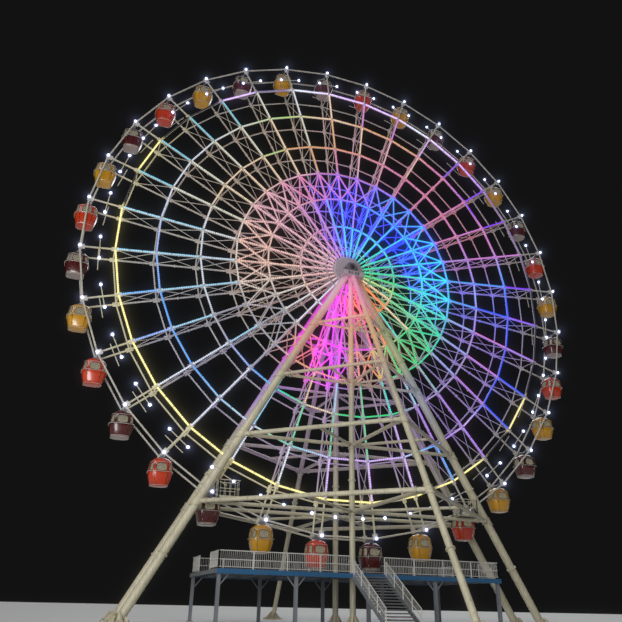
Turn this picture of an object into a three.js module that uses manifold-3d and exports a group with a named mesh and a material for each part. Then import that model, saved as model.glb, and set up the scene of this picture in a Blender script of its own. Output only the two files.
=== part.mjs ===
// Giant ferris wheel on braced legs, built at half its real size: millimetres, +Z up, ground at z = 0.
// The wheel turns about a shaft along Y; its lit front face looks towards -Y.
// Two flat lattice faces hang on the shaft, and the cabins swing on pins between their tips.
import * as THREE from "three";
import { mergeGeometries, mergeVertices } from "three/addons/utils/BufferGeometryUtils.js";
import Module from "manifold-3d";

const MODEL_SCALE = 1 / 2;
const real = (mm) => mm * MODEL_SCALE; // a size of the full-size wheel, at the model's scale

// Small gaps, in the model's own millimetres.
const SEAT_GAP = 0.3; // between pieces that touch
const PIN_GAP = 0.5; // at the ends of a cabin's pin
const BORE_GAP = 0.8; // round the turning shaft in its bearings

// The wheel.
const HUB_HEIGHT = real(27700);
const RIM_RADIUS = real(22000);
const RING_RADII = [4400, 7260, 9990, 12890, 16350, 19440].map(real); // from the hub out
const STAR_RING = 1; // the star lattice fills the bays between this ring and the next
const SPOKES = 32;
const SPOKE_STEP = (2 * Math.PI) / SPOKES;
const FIRST_SPOKE = SPOKE_STEP / 2; // no spoke stands upright or lies level
const BAR_WIDTH = real(140);
const STAR_BAR_WIDTH = real(100);
const BAR_DEPTH = real(140);
const FACE_AT_RIM = real(900); // from the middle plane to the middle of a face's bars, at the rim
const FACE_FLARE = real(220); // how much further apart each face stands at the hub
const HUB_PLATE_RADIUS = real(1350);
const PLATE_INNER = real(1030); // from the middle plane to a hub plate's inner face
const PLATE_DEPTH = real(160);
const DRUM_RADIUS = real(1050);
const SHAFT_RADIUS = real(250);
const SHAFT_SIDES = 36;

// The legs. Each side has a left and a right leg in the wheel's plane, an upright pillar and an outrigger.
const BEARING_OFFSET = real(1600); // from the middle plane to the legs' plane
const LEG_SPREAD = 0.5677; // sideways run for each unit of drop
const OUTRIGGER_SPREAD = 0.558;
const LEG_RADIUS = real(300);
const PILLAR_RADIUS = real(210);
const OUTRIGGER_RADIUS = real(200);
const LEG_SIDES = 8;
const LEG_TOP_DROP = real(1000); // from the shaft's axis down to the legs' cut tops
const FOOT_THICKNESS = real(80);
const FOOT_WIDTH = real(1500);
const SMALL_FOOT_WIDTH = real(1100);

// The bearing head that ties the four legs of a side together.
const HEAD_HALF_WIDTH = real(960);
const HEAD_HEIGHT = real(420);
const HEAD_INNER = real(1290);
const HEAD_OUTER = real(2400);
const HOUSING_RADIUS = real(480);
const HOUSING_OUTER = real(1930);
const SHAFT_END = real(2000);

// The level frames between the legs of a side.
const FRAME_LEVELS = {
  top: { drop: real(5620), beam: real(110) },
  upper: { drop: real(10340), beam: real(125) },
  middle: { drop: real(15290), beam: real(150) },
  lower: { drop: real(20170), beam: real(150) },
};
const FRAME_BEAM_SIDES = 4;
const COLLAR_THICKNESS = real(90);
const COLLAR_HALF_HEIGHT = real(260);

// The cabins, measured from their pins.
const CABIN_LEVELS = [
  // height, half width, half depth
  [-2200, 620, 560],
  [-1330, 860, 750],
  [-560, 760, 700],
  [-200, 420, 400],
].map((level) => level.map(real));
const CABIN_WALL = real(60);
const WINDOW_SILL = real(-1280);
const WINDOW_HEAD = real(-620);
const WINDOW_HALF_WIDTH = real(620);
const WINDOW_HALF_DEPTH = real(520);
const CABIN_PIN_RADIUS = real(60);
const CABIN_PIN_SIDES = 4;
const HANGER_HALF_WIDTH = real(110);
const HANGER_HALF_DEPTH = real(330);

// The boarding deck under the wheel.
const DECK_TOP = real(3200);
const DECK_THICKNESS = real(250);
const DECK_HALF_LENGTH = real(10400);
const DECK_HALF_DEPTH = real(4400);
const DECK_POST_WIDTH = real(220);
const DECK_POST_COLUMNS = 5;
const RAILING_HEIGHT = real(1100);
const RAILING_BAR = real(60);
const RAILING_POST_STEP = real(4600);
const RAILING_INSET = real(120);
const RAILING_END = DECK_HALF_LENGTH - RAILING_INSET;
const STAIR_STEPS = 18;
const STAIR_GOING = real(290);
const STAIR_HALF_WIDTH = real(1200);
const STAIR_THROAT = real(220); // how thick the flight is under its steps
const SERVICE_PLATFORM_X = real(9450);
const SERVICE_PLATFORM_SIZE = [real(1540), real(1300)];
const SERVICE_FLOOR = real(80);
const SERVICE_FENCE_HEIGHT = real(1300);

// Solids are joined and cut with manifold-3d and handed back as three.js geometry.
const wasm = await Module();
wasm.setup();

function toSolid(geometry) {
  const bare = geometry.clone();
  bare.deleteAttribute("normal");
  bare.deleteAttribute("uv");
  const merged = mergeVertices(bare, 1e-3);
  return new wasm.Manifold(
    new wasm.Mesh({
      numProp: 3,
      vertProperties: merged.attributes.position.array,
      triVerts: new Uint32Array(merged.index.array),
    }),
  );
}

function toGeometry(solid) {
  const mesh = solid.getMesh();
  const geometry = new THREE.BufferGeometry();
  geometry.setAttribute("position", new THREE.BufferAttribute(mesh.vertProperties, 3));
  geometry.setIndex(new THREE.BufferAttribute(mesh.triVerts, 1));
  geometry.computeVertexNormals();
  return geometry;
}

const joined = (geometries) => geometries.map(toSolid).reduce((sum, solid) => sum.add(solid));

const vec = (x, y, z) => new THREE.Vector3(x, y, z);

// A box between two corners.
function boxBetween(low, high) {
  const size = high.clone().sub(low);
  const middle = low.clone().add(high).multiplyScalar(0.5);
  return new THREE.BoxGeometry(size.x, size.y, size.z).translate(middle.x, middle.y, middle.z);
}

// A unit cylinder stretched over three axes: across, along and across again.
function cylinderOver(middle, across, along, other, sides) {
  const matrix = new THREE.Matrix4().makeBasis(across, along, other).setPosition(middle);
  return new THREE.CylinderGeometry(1, 1, 1, sides).applyMatrix4(matrix);
}

// A round bar with square-cut ends.
function bar(from, to, radius, sides) {
  const along = to.clone().sub(from);
  const across = vec(along.y, -along.x, 0).normalize();
  const other = across.clone().cross(along).normalize();
  const middle = from.clone().add(to).multiplyScalar(0.5);
  return cylinderOver(middle, across.multiplyScalar(radius), along, other.multiplyScalar(radius), sides);
}

// A leaning round tube whose ends are cut level.
function leaningTube(from, to, radius, sides) {
  const along = to.clone().sub(from);
  const lean = vec(along.x, along.y, 0);
  const stretch = along.length() / Math.abs(along.z);
  const across = lean.length() > 0 ? lean.normalize() : vec(1, 0, 0);
  const other = across.clone().cross(along).setZ(0).normalize();
  const middle = from.clone().add(to).multiplyScalar(0.5);
  across.multiplyScalar(radius * stretch);
  return cylinderOver(middle, across, along, other.multiplyScalar(radius), sides);
}

// Paints.
const paint = (color, roughness = 0.45, metalness = 0.1) =>
  new THREE.MeshStandardMaterial({ color, roughness, metalness });
const LATTICE_PAINT = paint(0xd9d4c6);
const LEG_PAINT = paint(0xc9c4a6);
const HUB_PAINT = paint(0x8f8b93, 0.5, 0.4);
const DECK_PAINT = paint(0x7d8288, 0.6, 0.3);
const RAILING_PAINT = paint(0xe4e4de, 0.4, 0.2);
const CABIN_PAINTS = { Y: paint(0xe0a010, 0.35), R: paint(0xc62f12, 0.35), D: paint(0x4a1216, 0.35) };
const CABIN_COLOURS = "YRDYRDYRDYDYRDYRDYRDRDYRDYRYDYRD"; // yellow, red or dark, one letter a cabin

const ferrisWheel = new THREE.Group();

function addMesh(parent, name, geometry, material) {
  const mesh = new THREE.Mesh(geometry, material);
  mesh.name = name;
  parent.add(mesh);
  return mesh;
}

// One face of the wheel is a flat disc with a hole cut through in every bay between its bars.
const spokeAngle = (spoke) => FIRST_SPOKE + spoke * SPOKE_STEP;
const nodeAt = (radius, spoke) =>
  new THREE.Vector2(radius * Math.cos(spokeAngle(spoke)), radius * Math.sin(spokeAngle(spoke)));

// The hole inside a counter-clockwise loop of bar centre lines, each moved in by half its bar's width.
function bayHole(corners, halfWidths) {
  const lines = corners.map((corner, i) => {
    const along = corners[(i + 1) % corners.length].clone().sub(corner).normalize();
    const inwards = new THREE.Vector2(-along.y, along.x);
    return { point: corner.clone().addScaledVector(inwards, halfWidths[i]), along };
  });
  const points = lines.map((line, i) => {
    const before = lines[(i + lines.length - 1) % lines.length];
    const gap = line.point.clone().sub(before.point);
    const reach = gap.cross(line.along) / before.along.cross(line.along);
    return before.point.clone().addScaledVector(before.along, reach);
  });
  return points;
}

const bayCorners = (inner, outer, spoke) => [
  nodeAt(inner, spoke),
  nodeAt(outer, spoke),
  nodeAt(outer, spoke + 1),
  nodeAt(inner, spoke + 1),
];

function ringBayHole(inner, outer, spoke) {
  const corners = bayCorners(inner, outer, spoke);
  return bayHole(corners, Array(corners.length).fill(BAR_WIDTH / 2));
}

// A star bay is crossed by two diagonals, which leave four triangular holes.
function starBayHoles(inner, outer, spoke) {
  const corners = bayCorners(inner, outer, spoke);
  const share = inner / (inner + outer);
  const centre = corners[0].clone().lerp(corners[2], share);
  const halfWidths = [BAR_WIDTH / 2, STAR_BAR_WIDTH / 2, STAR_BAR_WIDTH / 2];
  return corners.map((corner, i) => bayHole([corner, corners[(i + 1) % corners.length], centre], halfWidths));
}

// How far the middle of a face stands from the wheel's middle plane: it is a little dished towards the hub.
const faceOffset = (radius) => FACE_AT_RIM + FACE_FLARE * (1 - radius / RIM_RADIUS);

// One face's bars, from the hub ring out to the rim.
function latticeBars(side, rings, withStar) {
  const polygon = (radius) => Array.from({ length: SPOKES }, (_, spoke) => nodeAt(radius, spoke));
  const holes = [polygon(HUB_PLATE_RADIUS - BAR_WIDTH / 2)];
  const edges = [HUB_PLATE_RADIUS, ...rings, RIM_RADIUS];
  for (let spoke = 0; spoke < SPOKES; spoke++) {
    for (let ring = 0; ring + 1 < edges.length; ring++) {
      const isStar = withStar && ring === STAR_RING + 1;
      if (isStar) holes.push(...starBayHoles(edges[ring], edges[ring + 1], spoke));
      else holes.push(ringBayHole(edges[ring], edges[ring + 1], spoke));
    }
  }
  const slab = (points, depth) => {
    const shape = new THREE.Shape(points);
    return new THREE.ExtrudeGeometry(shape, { depth, bevelEnabled: false }).translate(0, 0, -depth / 2);
  };
  const cutters = mergeGeometries(holes.map((points) => slab(points, 2 * BAR_DEPTH)));
  const disc = slab(polygon(RIM_RADIUS + BAR_WIDTH / 2), BAR_DEPTH);
  const geometry = toGeometry(toSolid(disc).subtract(toSolid(cutters)));
  geometry.rotateX(Math.PI / 2);
  const position = geometry.getAttribute("position");
  for (let i = 0; i < position.count; i++) {
    const radius = Math.hypot(position.getX(i), position.getZ(i));
    position.setY(i, position.getY(i) + side * faceOffset(radius));
  }
  return geometry;
}

// A whole face: its bars joined to a flat hub plate with a bore for the shaft.
function latticeFace(side, rings, withStar) {
  const along = (from, to, radius, sides) => bar(vec(0, side * from, 0), vec(0, side * to, 0), radius, sides);
  const plate = along(PLATE_INNER, PLATE_INNER + PLATE_DEPTH, HUB_PLATE_RADIUS, SPOKES);
  const bore = along(PLATE_INNER / 2, 2 * PLATE_INNER, SHAFT_RADIUS + SEAT_GAP, SHAFT_SIDES);
  return toGeometry(joined([latticeBars(side, rings, withStar), plate]).subtract(toSolid(bore)));
}

// The shaft with the drum that spaces the two hub plates.
function hubShaft() {
  const drumHalf = PLATE_INNER - SEAT_GAP;
  const profile = [
    [0, -SHAFT_END],
    [SHAFT_RADIUS, -SHAFT_END],
    [SHAFT_RADIUS, -drumHalf],
    [DRUM_RADIUS, -drumHalf],
    [DRUM_RADIUS, drumHalf],
    [SHAFT_RADIUS, drumHalf],
    [SHAFT_RADIUS, SHAFT_END],
    [0, SHAFT_END],
  ].map(([radius, along]) => new THREE.Vector2(radius, along));
  return new THREE.LatheGeometry(profile, SHAFT_SIDES);
}

// A closed form with a rectangular section at each level, bulging out at the waist.
function loftedBox(levels) {
  const corners = levels.flatMap(([z, halfWidth, halfDepth]) => [
    [-halfWidth, -halfDepth, z],
    [halfWidth, -halfDepth, z],
    [halfWidth, halfDepth, z],
    [-halfWidth, halfDepth, z],
  ]);
  const faces = [[0, 2, 1], [0, 3, 2]];
  const last = 4 * (levels.length - 1);
  faces.push([last, last + 1, last + 2], [last, last + 2, last + 3]);
  for (let level = 0; level + 1 < levels.length; level++) {
    for (let i = 0; i < 4; i++) {
      const a = 4 * level + i;
      const b = 4 * level + ((i + 1) % 4);
      faces.push([a, b, b + 4], [a, b + 4, a + 4]);
    }
  }
  const geometry = new THREE.BufferGeometry();
  geometry.setAttribute("position", new THREE.Float32BufferAttribute(corners.flat(), 3));
  geometry.setIndex(faces.flat());
  return geometry;
}

// A cabin with its window band, its hanger and the pin that it swings on.
function cabinGeometry() {
  // The hollow inside reaches from the floor to a flat ceiling under the roof.
  const inner = CABIN_LEVELS.slice(0, -1).map(([z, halfWidth, halfDepth], i) => [
    i === 0 ? z + CABIN_WALL : z,
    halfWidth - CABIN_WALL,
    halfDepth - CABIN_WALL,
  ]);
  const reach = RIM_RADIUS;
  const windowAcross = boxBetween(
    vec(-reach, -WINDOW_HALF_DEPTH, WINDOW_SILL), vec(reach, WINDOW_HALF_DEPTH, WINDOW_HEAD));
  const windowAlong = boxBetween(
    vec(-WINDOW_HALF_WIDTH, -reach, WINDOW_SILL), vec(WINDOW_HALF_WIDTH, reach, WINDOW_HEAD));
  const shell = toSolid(loftedBox(CABIN_LEVELS))
    .subtract(toSolid(loftedBox(inner)))
    .subtract(toSolid(windowAcross))
    .subtract(toSolid(windowAlong));
  const roofTop = CABIN_LEVELS.at(-1)[0];
  const hanger = boxBetween(
    vec(-HANGER_HALF_WIDTH, -HANGER_HALF_DEPTH, roofTop - CABIN_WALL / 2),
    vec(HANGER_HALF_WIDTH, HANGER_HALF_DEPTH, 2 * CABIN_PIN_RADIUS));
  const pinHalf = FACE_AT_RIM - BAR_DEPTH / 2 - PIN_GAP;
  const pin = bar(vec(0, -pinHalf, 0), vec(0, pinHalf, 0), CABIN_PIN_RADIUS, CABIN_PIN_SIDES);
  return toGeometry(shell.add(toSolid(hanger)).add(toSolid(pin)));
}

function buildWheel() {
  const wheel = new THREE.Group();
  wheel.position.z = HUB_HEIGHT;
  addMesh(wheel, "hub_shaft", hubShaft(), HUB_PAINT);
  addMesh(wheel, "front_lattice", latticeFace(-1, RING_RADII, true), LATTICE_PAINT);
  addMesh(wheel, "rear_lattice", latticeFace(1, RING_RADII.slice(STAR_RING + 1), false), LATTICE_PAINT);
  const cabin = cabinGeometry();
  for (let spoke = 0; spoke < SPOKES; spoke++) {
    const tip = nodeAt(RIM_RADIUS, spoke);
    const name = "cabin_" + String(spoke + 1).padStart(2, "0");
    const mesh = addMesh(wheel, name, cabin, CABIN_PAINTS[CABIN_COLOURS[spoke]]);
    mesh.position.set(tip.x, 0, tip.y);
  }
  return wheel;
}

// Where a leg of one side stands at a given drop below the shaft.
const LEGS = {
  left_leg: { x: -LEG_SPREAD, y: 0, radius: LEG_RADIUS, foot: FOOT_WIDTH },
  right_leg: { x: LEG_SPREAD, y: 0, radius: LEG_RADIUS, foot: FOOT_WIDTH },
  pillar: { x: 0, y: 0, radius: PILLAR_RADIUS, foot: SMALL_FOOT_WIDTH },
  outrigger: { x: 0, y: OUTRIGGER_SPREAD, radius: OUTRIGGER_RADIUS, foot: FOOT_WIDTH },
};
const legPoint = (leg, side, drop) =>
  vec(leg.x * drop, side * (BEARING_OFFSET + leg.y * drop), HUB_HEIGHT - drop);

function legGeometry(leg, side) {
  const foot = legPoint(leg, side, HUB_HEIGHT);
  const inFoot = legPoint(leg, side, HUB_HEIGHT - FOOT_THICKNESS / 2);
  const tube = leaningTube(inFoot, legPoint(leg, side, LEG_TOP_DROP), leg.radius, LEG_SIDES);
  const half = leg.foot / 2;
  const plate = boxBetween(
    vec(foot.x - half, foot.y - half, 0),
    vec(foot.x + half, foot.y + half, FOOT_THICKNESS));
  return toGeometry(joined([tube, plate]));
}

// The bearing head: a block on the legs' tops, a web and the housing round the shaft.
function bearingGeometry(side) {
  const slab = (halfWidth, inner, outer, low, high) =>
    boxBetween(
      vec(-halfWidth, Math.min(side * inner, side * outer), low),
      vec(halfWidth, Math.max(side * inner, side * outer), high));
  const blockLow = HUB_HEIGHT - LEG_TOP_DROP + SEAT_GAP;
  const block = slab(HEAD_HALF_WIDTH, HEAD_INNER, HEAD_OUTER, blockLow, blockLow + HEAD_HEIGHT);
  const web = slab(HOUSING_RADIUS * 0.9, HEAD_INNER, HOUSING_OUTER, blockLow + HEAD_HEIGHT / 2, HUB_HEIGHT);
  const along = (from, to, radius) =>
    bar(vec(0, side * from, HUB_HEIGHT), vec(0, side * to, HUB_HEIGHT), radius, SHAFT_SIDES);
  const housing = along(HEAD_INNER, HOUSING_OUTER, HOUSING_RADIUS);
  const bore = along(HEAD_INNER / 2, HOUSING_OUTER * 2, SHAFT_RADIUS + BORE_GAP);
  return toGeometry(joined([block, web, housing]).subtract(toSolid(bore)));
}

// A level frame: collars round the four legs, and beams between them.
function frameGeometry(side, { drop, beam }) {
  const at = (name) => legPoint(LEGS[name], side, drop);
  const [left, right, pillar, outrigger] = [at("left_leg"), at("right_leg"), at("pillar"), at("outrigger")];
  const runs = [
    [left, outrigger],
    [outrigger, right],
    [left, pillar],
    [pillar, right],
    [pillar, outrigger],
  ];
  const beams = runs.map(([from, to]) => bar(from, to, beam, FRAME_BEAM_SIDES));
  const sleeve = (leg, extra, halfHeight) =>
    leaningTube(
      legPoint(leg, side, drop + halfHeight),
      legPoint(leg, side, drop - halfHeight),
      leg.radius + extra,
      LEG_SIDES);
  const collars = Object.values(LEGS).map((leg) => sleeve(leg, COLLAR_THICKNESS, COLLAR_HALF_HEIGHT));
  const bores = Object.values(LEGS).map((leg) => sleeve(leg, SEAT_GAP * 1.2, COLLAR_HALF_HEIGHT * 3));
  const frame = joined([...beams, ...collars]);
  return toGeometry(bores.reduce((solid, bore) => solid.subtract(toSolid(bore)), frame));
}

function buildSupports(supports) {
  for (const [word, side] of [["front", -1], ["rear", 1]]) {
    for (const [name, leg] of Object.entries(LEGS))
      addMesh(supports, word + "_" + name, legGeometry(leg, side), LEG_PAINT);
    addMesh(supports, word + "_bearing", bearingGeometry(side), HUB_PAINT);
    for (const [level, sizes] of Object.entries(FRAME_LEVELS))
      addMesh(supports, word + "_" + level + "_frame", frameGeometry(side, sizes), LEG_PAINT);
  }
}

// The boarding deck on its posts, with a hole round each pillar.
function deckGeometry() {
  const slab = boxBetween(
    vec(-DECK_HALF_LENGTH, -DECK_HALF_DEPTH, DECK_TOP - DECK_THICKNESS),
    vec(DECK_HALF_LENGTH, DECK_HALF_DEPTH, DECK_TOP));
  const posts = [];
  for (let column = 0; column < DECK_POST_COLUMNS; column++) {
    const x = (DECK_HALF_LENGTH - DECK_POST_WIDTH) * ((2 * column) / (DECK_POST_COLUMNS - 1) - 1);
    for (const y of [-1, 1].map((sign) => sign * (DECK_HALF_DEPTH - DECK_POST_WIDTH)))
      posts.push(
        boxBetween(
          vec(x - DECK_POST_WIDTH / 2, y - DECK_POST_WIDTH / 2, 0),
          vec(x + DECK_POST_WIDTH / 2, y + DECK_POST_WIDTH / 2, DECK_TOP - DECK_THICKNESS / 2)));
  }
  const holes = [-1, 1].map((side) =>
    leaningTube(
      legPoint(LEGS.pillar, side, HUB_HEIGHT), legPoint(LEGS.pillar, side, HUB_HEIGHT - 2 * DECK_TOP),
      PILLAR_RADIUS + SEAT_GAP * 1.2, LEG_SIDES));
  return toGeometry(holes.reduce((solid, hole) => solid.subtract(toSolid(hole)), joined([slab, ...posts])));
}

// A railing along one edge of the deck, which turns in towards the wheel at each end of the deck.
function railingGeometry(side, fromX, toX) {
  const low = DECK_TOP + SEAT_GAP;
  const top = DECK_TOP + RAILING_HEIGHT;
  const y = side * (DECK_HALF_DEPTH - RAILING_INSET);
  const innerY = side * (BEARING_OFFSET + PILLAR_RADIUS);
  const half = RAILING_BAR / 2;
  const stick = (from, to) =>
    boxBetween(
      vec(Math.min(from.x, to.x) - half, Math.min(from.y, to.y) - half, from.z),
      vec(Math.max(from.x, to.x) + half, Math.max(from.y, to.y) + half, to.z));
  const pieces = [];
  const posts = Math.max(2, Math.ceil((toX - fromX) / RAILING_POST_STEP) + 1);
  for (let i = 0; i < posts; i++) {
    const x = fromX + ((toX - fromX) * i) / (posts - 1);
    pieces.push(stick(vec(x, y, low), vec(x, y, top)));
  }
  const ends = [fromX, toX].filter((x) => Math.abs(x) === RAILING_END);
  for (const x of ends) pieces.push(stick(vec(x, innerY, low), vec(x, innerY, top)));
  for (const height of [top - half, (top + low) / 2]) {
    pieces.push(stick(vec(fromX, y, height - half), vec(toX, y, height + half)));
    for (const x of ends) pieces.push(stick(vec(x, y, height - half), vec(x, innerY, height + half)));
  }
  return toGeometry(joined(pieces));
}

// A straight flight up to the deck's front edge, cut from one stepped outline.
function stairGeometry() {
  const rise = DECK_TOP / STAIR_STEPS;
  const outline = [];
  const run = (STAIR_STEPS - 1) * STAIR_GOING;
  outline.push([0, 0]);
  for (let step = 1; step < STAIR_STEPS; step++) {
    outline.push([(step - 1) * STAIR_GOING, step * rise], [step * STAIR_GOING, step * rise]);
  }
  outline.push([run, (STAIR_STEPS - 1) * rise - STAIR_THROAT], [STAIR_GOING, 0]);
  const shape = new THREE.Shape(outline.map(([x, y]) => new THREE.Vector2(x, y)));
  const flight = new THREE.ExtrudeGeometry(shape, { depth: 2 * STAIR_HALF_WIDTH, bevelEnabled: false });
  // The outline's first axis runs towards the deck and its second axis up.
  flight.translate(-run - SEAT_GAP, 0, -STAIR_HALF_WIDTH).rotateX(Math.PI / 2).rotateZ(Math.PI / 2);
  return flight.translate(0, -DECK_HALF_DEPTH, 0);
}

// A small fenced platform on the lower frame, beside the rim.
function servicePlatform(side, end) {
  const [length, depth] = SERVICE_PLATFORM_SIZE;
  const floorLow = HUB_HEIGHT - FRAME_LEVELS.lower.drop + FRAME_LEVELS.lower.beam + SEAT_GAP;
  const x = end * SERVICE_PLATFORM_X;
  const y = side * (BEARING_OFFSET + real(200));
  const half = RAILING_BAR / 2;
  const low = vec(x - length / 2, y - depth / 2, floorLow);
  const high = vec(x + length / 2, y + depth / 2, floorLow + SERVICE_FLOOR);
  const pieces = [boxBetween(low, high)];
  const top = floorLow + SERVICE_FENCE_HEIGHT;
  const postX = length / 2 - half;
  const postY = depth / 2 - half;
  for (const i of [-1, 0, 1])
    for (const j of [-1, 1])
      pieces.push(
        boxBetween(
          vec(x + i * postX - half, y + j * postY - half, floorLow + SERVICE_FLOOR / 2),
          vec(x + i * postX + half, y + j * postY + half, top)));
  const railLow = top - RAILING_BAR;
  for (const j of [-1, 1])
    pieces.push(
      boxBetween(vec(low.x, y + j * postY - half, railLow), vec(high.x, y + j * postY + half, top)),
      boxBetween(vec(x + j * postX - half, low.y, railLow), vec(x + j * postX + half, high.y, top)));
  return toGeometry(joined(pieces));
}

function buildStation(station) {
  addMesh(station, "boarding_deck", deckGeometry(), DECK_PAINT);
  addMesh(station, "front_left_railing", railingGeometry(-1, -RAILING_END, -STAIR_HALF_WIDTH), RAILING_PAINT);
  addMesh(station, "front_right_railing", railingGeometry(-1, STAIR_HALF_WIDTH, RAILING_END), RAILING_PAINT);
  addMesh(station, "rear_railing", railingGeometry(1, -RAILING_END, RAILING_END), RAILING_PAINT);
  addMesh(station, "boarding_stair", stairGeometry(), DECK_PAINT);
  addMesh(station, "left_service_platform", servicePlatform(-1, -1), DECK_PAINT);
  addMesh(station, "right_service_platform", servicePlatform(-1, 1), DECK_PAINT);
}

ferrisWheel.add(buildWheel());
buildSupports(ferrisWheel);
buildStation(ferrisWheel);

export default ferrisWheel;
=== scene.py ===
# %% [markdown]
# # A large ferris wheel with lit spokes
#
# A ferris wheel of this size is a very light machine: two flat faces of steel tube, held apart by
# zigzag bracing, turn on one short shaft. Two stands of four tubes each carry it. The cabins hang
# between the faces on pins, so gravity alone keeps them level.
#
# The solid model is already there as a fixed frame. It could be painted and left at that, but its
# bars are square and plain. So this script keeps its places and sizes, and builds round tubes,
# flanges, lamps, rounded cabins and railings on them, mostly as loops over a few small helpers.

# %% Load the fixed frame
import math

import bpy
import numpy as np
from mathutils import Matrix, Vector


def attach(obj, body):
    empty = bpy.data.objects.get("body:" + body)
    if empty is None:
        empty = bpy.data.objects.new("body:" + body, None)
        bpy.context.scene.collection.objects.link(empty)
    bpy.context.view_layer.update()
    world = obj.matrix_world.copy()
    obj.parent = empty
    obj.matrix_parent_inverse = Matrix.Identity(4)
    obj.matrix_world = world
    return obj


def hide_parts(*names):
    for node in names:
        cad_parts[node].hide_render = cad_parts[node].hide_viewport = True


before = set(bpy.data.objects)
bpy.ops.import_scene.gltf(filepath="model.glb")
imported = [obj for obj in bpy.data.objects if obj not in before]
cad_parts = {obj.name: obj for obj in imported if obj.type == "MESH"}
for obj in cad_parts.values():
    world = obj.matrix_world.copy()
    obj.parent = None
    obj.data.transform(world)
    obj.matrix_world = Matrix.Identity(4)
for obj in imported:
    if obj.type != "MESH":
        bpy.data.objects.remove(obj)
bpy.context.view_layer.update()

# %% [markdown]
# ## Sizes
#
# Sizes are easiest to check as those of the full-size wheel, in millimetres. The model stands at
# half that size, and Blender counts in metres, so one small function turns the first into the second,
# and two more do it for several sizes at once.

# %% Sizes of the wheel
MODEL_SCALE = 1 / 2


def real(millimetres):
    return millimetres / 1000 * MODEL_SCALE


def reals(*millimetres):
    return tuple(real(size) for size in millimetres)


def real_pairs(*pairs):
    """The corners of an outline, or the distances and radii of a turned part."""
    return [reals(*pair) for pair in pairs]


HUB = Vector((0, 0, real(27700)))
RIM = real(22000)
RINGS = reals(4400, 7260, 9990, 12890, 16350, 19440)
RING_F, RING_E, RING_D, RING_C, RING_B, RING_A = RINGS
SPOKES = 32
FACE_AT_RIM = real(900)
FACE_FLARE = real(220)
CHORD = real(70)  # radius of a spoke's tubes
BOLTED_GAP = 0.0003  # between solids that are bolted together
ALONG_SHAFT = Vector((0, 1, 0))
CORNERS = ((-1, -1), (1, -1), (1, 1), (-1, 1))  # of a square, in turn


def spoke_angle(spoke):
    return (spoke + 0.5) * 2 * math.pi / SPOKES


def angles(count, first=0.0):
    """Even steps round a circle, in radians."""
    return [first + 2 * math.pi * i / count for i in range(count)]


def face_offset(radius):
    """How far a face stands from the wheel's middle plane."""
    return FACE_AT_RIM + FACE_FLARE * (1 - radius / RIM)


def on_wheel(radius, spoke, across=0.0):
    """A point of the wheel, seen from its hub: spoke may be a fraction, across is along the shaft."""
    angle = spoke_angle(spoke)
    return Vector((radius * math.cos(angle), across, radius * math.sin(angle)))


def on_face(side, radius, spoke, out=0.0):
    return on_wheel(radius, spoke, side * (face_offset(radius) + out))


print("rim radius", RIM, "m, first spoke at", round(math.degrees(spoke_angle(0)), 3), "degrees")

# %% [markdown]
# ## Camera
#
# The viewer stands low, left of the middle, and looks up and to the right, so the circle of the rim
# turns into a leaning oval. The camera is turned by three angles in the order that a photographer
# would use: pan, tilt, and a slight roll. Writing them as axes keeps the order plain.

# %% Camera
CAMERA_PLACE = (-9.919, -23.535, 0.554)
PAN, TILT, ROLL = (math.radians(a) for a in (19.728, 24.462, 1.202))
LENS, SENSOR_WIDTH = 37.66, 36  # millimetres
CLIP_END = 500

camera_data = bpy.data.cameras.new("camera")
camera_data.sensor_width = SENSOR_WIDTH
camera_data.lens = LENS
camera_data.clip_end = CLIP_END
camera = bpy.data.objects.new("camera", camera_data)
bpy.context.scene.collection.objects.link(camera)

forward = Vector((math.sin(PAN) * math.cos(TILT), math.cos(PAN) * math.cos(TILT), math.sin(TILT)))
level = Vector((math.cos(PAN), -math.sin(PAN), 0))
upright = level.cross(forward)
right = math.cos(ROLL) * level + math.sin(ROLL) * upright
above = math.cos(ROLL) * upright - math.sin(ROLL) * level
axes = Matrix((right, above, -forward)).transposed().to_4x4()
camera.matrix_world = Matrix.Translation(CAMERA_PLACE) @ axes
bpy.context.scene.camera = camera
print("camera at", CAMERA_PLACE)

# %% [markdown]
# ## Floor and light
#
# A studio floor is pale and plain. The light is soft: two broad suns, front and back, keep an edge on
# the thin tubes, and a large soft box stands low at the front left. Its light fades with distance, so
# the legs and the near cabins are brighter than the far rim. It leaves the floor out, or it would burn
# a white patch there. The surround is nearly black, because lit strips only look lit when what is
# behind them is darker than they are.

# %% Floor and light
SURROUND = (0.006, 0.006, 0.0063, 1)
FLOOR_COLOUR, FLOOR_ROUGHNESS, FLOOR_HALF = (0.8, 0.8, 0.79, 1), 0.7, 400
SUNS = {  # strength, spread, tilt and turn in degrees, colour
    "front_sun": (0.9, 30, 50, -35, (1.0, 0.97, 0.92)),
    "rear_sun": (1.0, 40, 50, 150, (0.92, 0.96, 1.0)),
}
SOFT_BOX_WATTS, SOFT_BOX_SIDE, SOFT_BOX_PLACE = 2000, 8, (-15, -19, 4.5)


def add_floor():
    mesh = bpy.data.meshes.new("floor")
    mesh.from_pydata([(x * FLOOR_HALF, y * FLOOR_HALF, 0) for x, y in CORNERS], [], [(0, 1, 2, 3)])
    floor = bpy.data.objects.new("floor", mesh)
    bpy.context.scene.collection.objects.link(floor)
    material = bpy.data.materials.new("pale_floor")
    material.use_nodes = True
    shader = material.node_tree.nodes["Principled BSDF"]
    shader.inputs["Base Color"].default_value = FLOOR_COLOUR
    shader.inputs["Roughness"].default_value = FLOOR_ROUGHNESS
    mesh.materials.append(material)
    return floor


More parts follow.
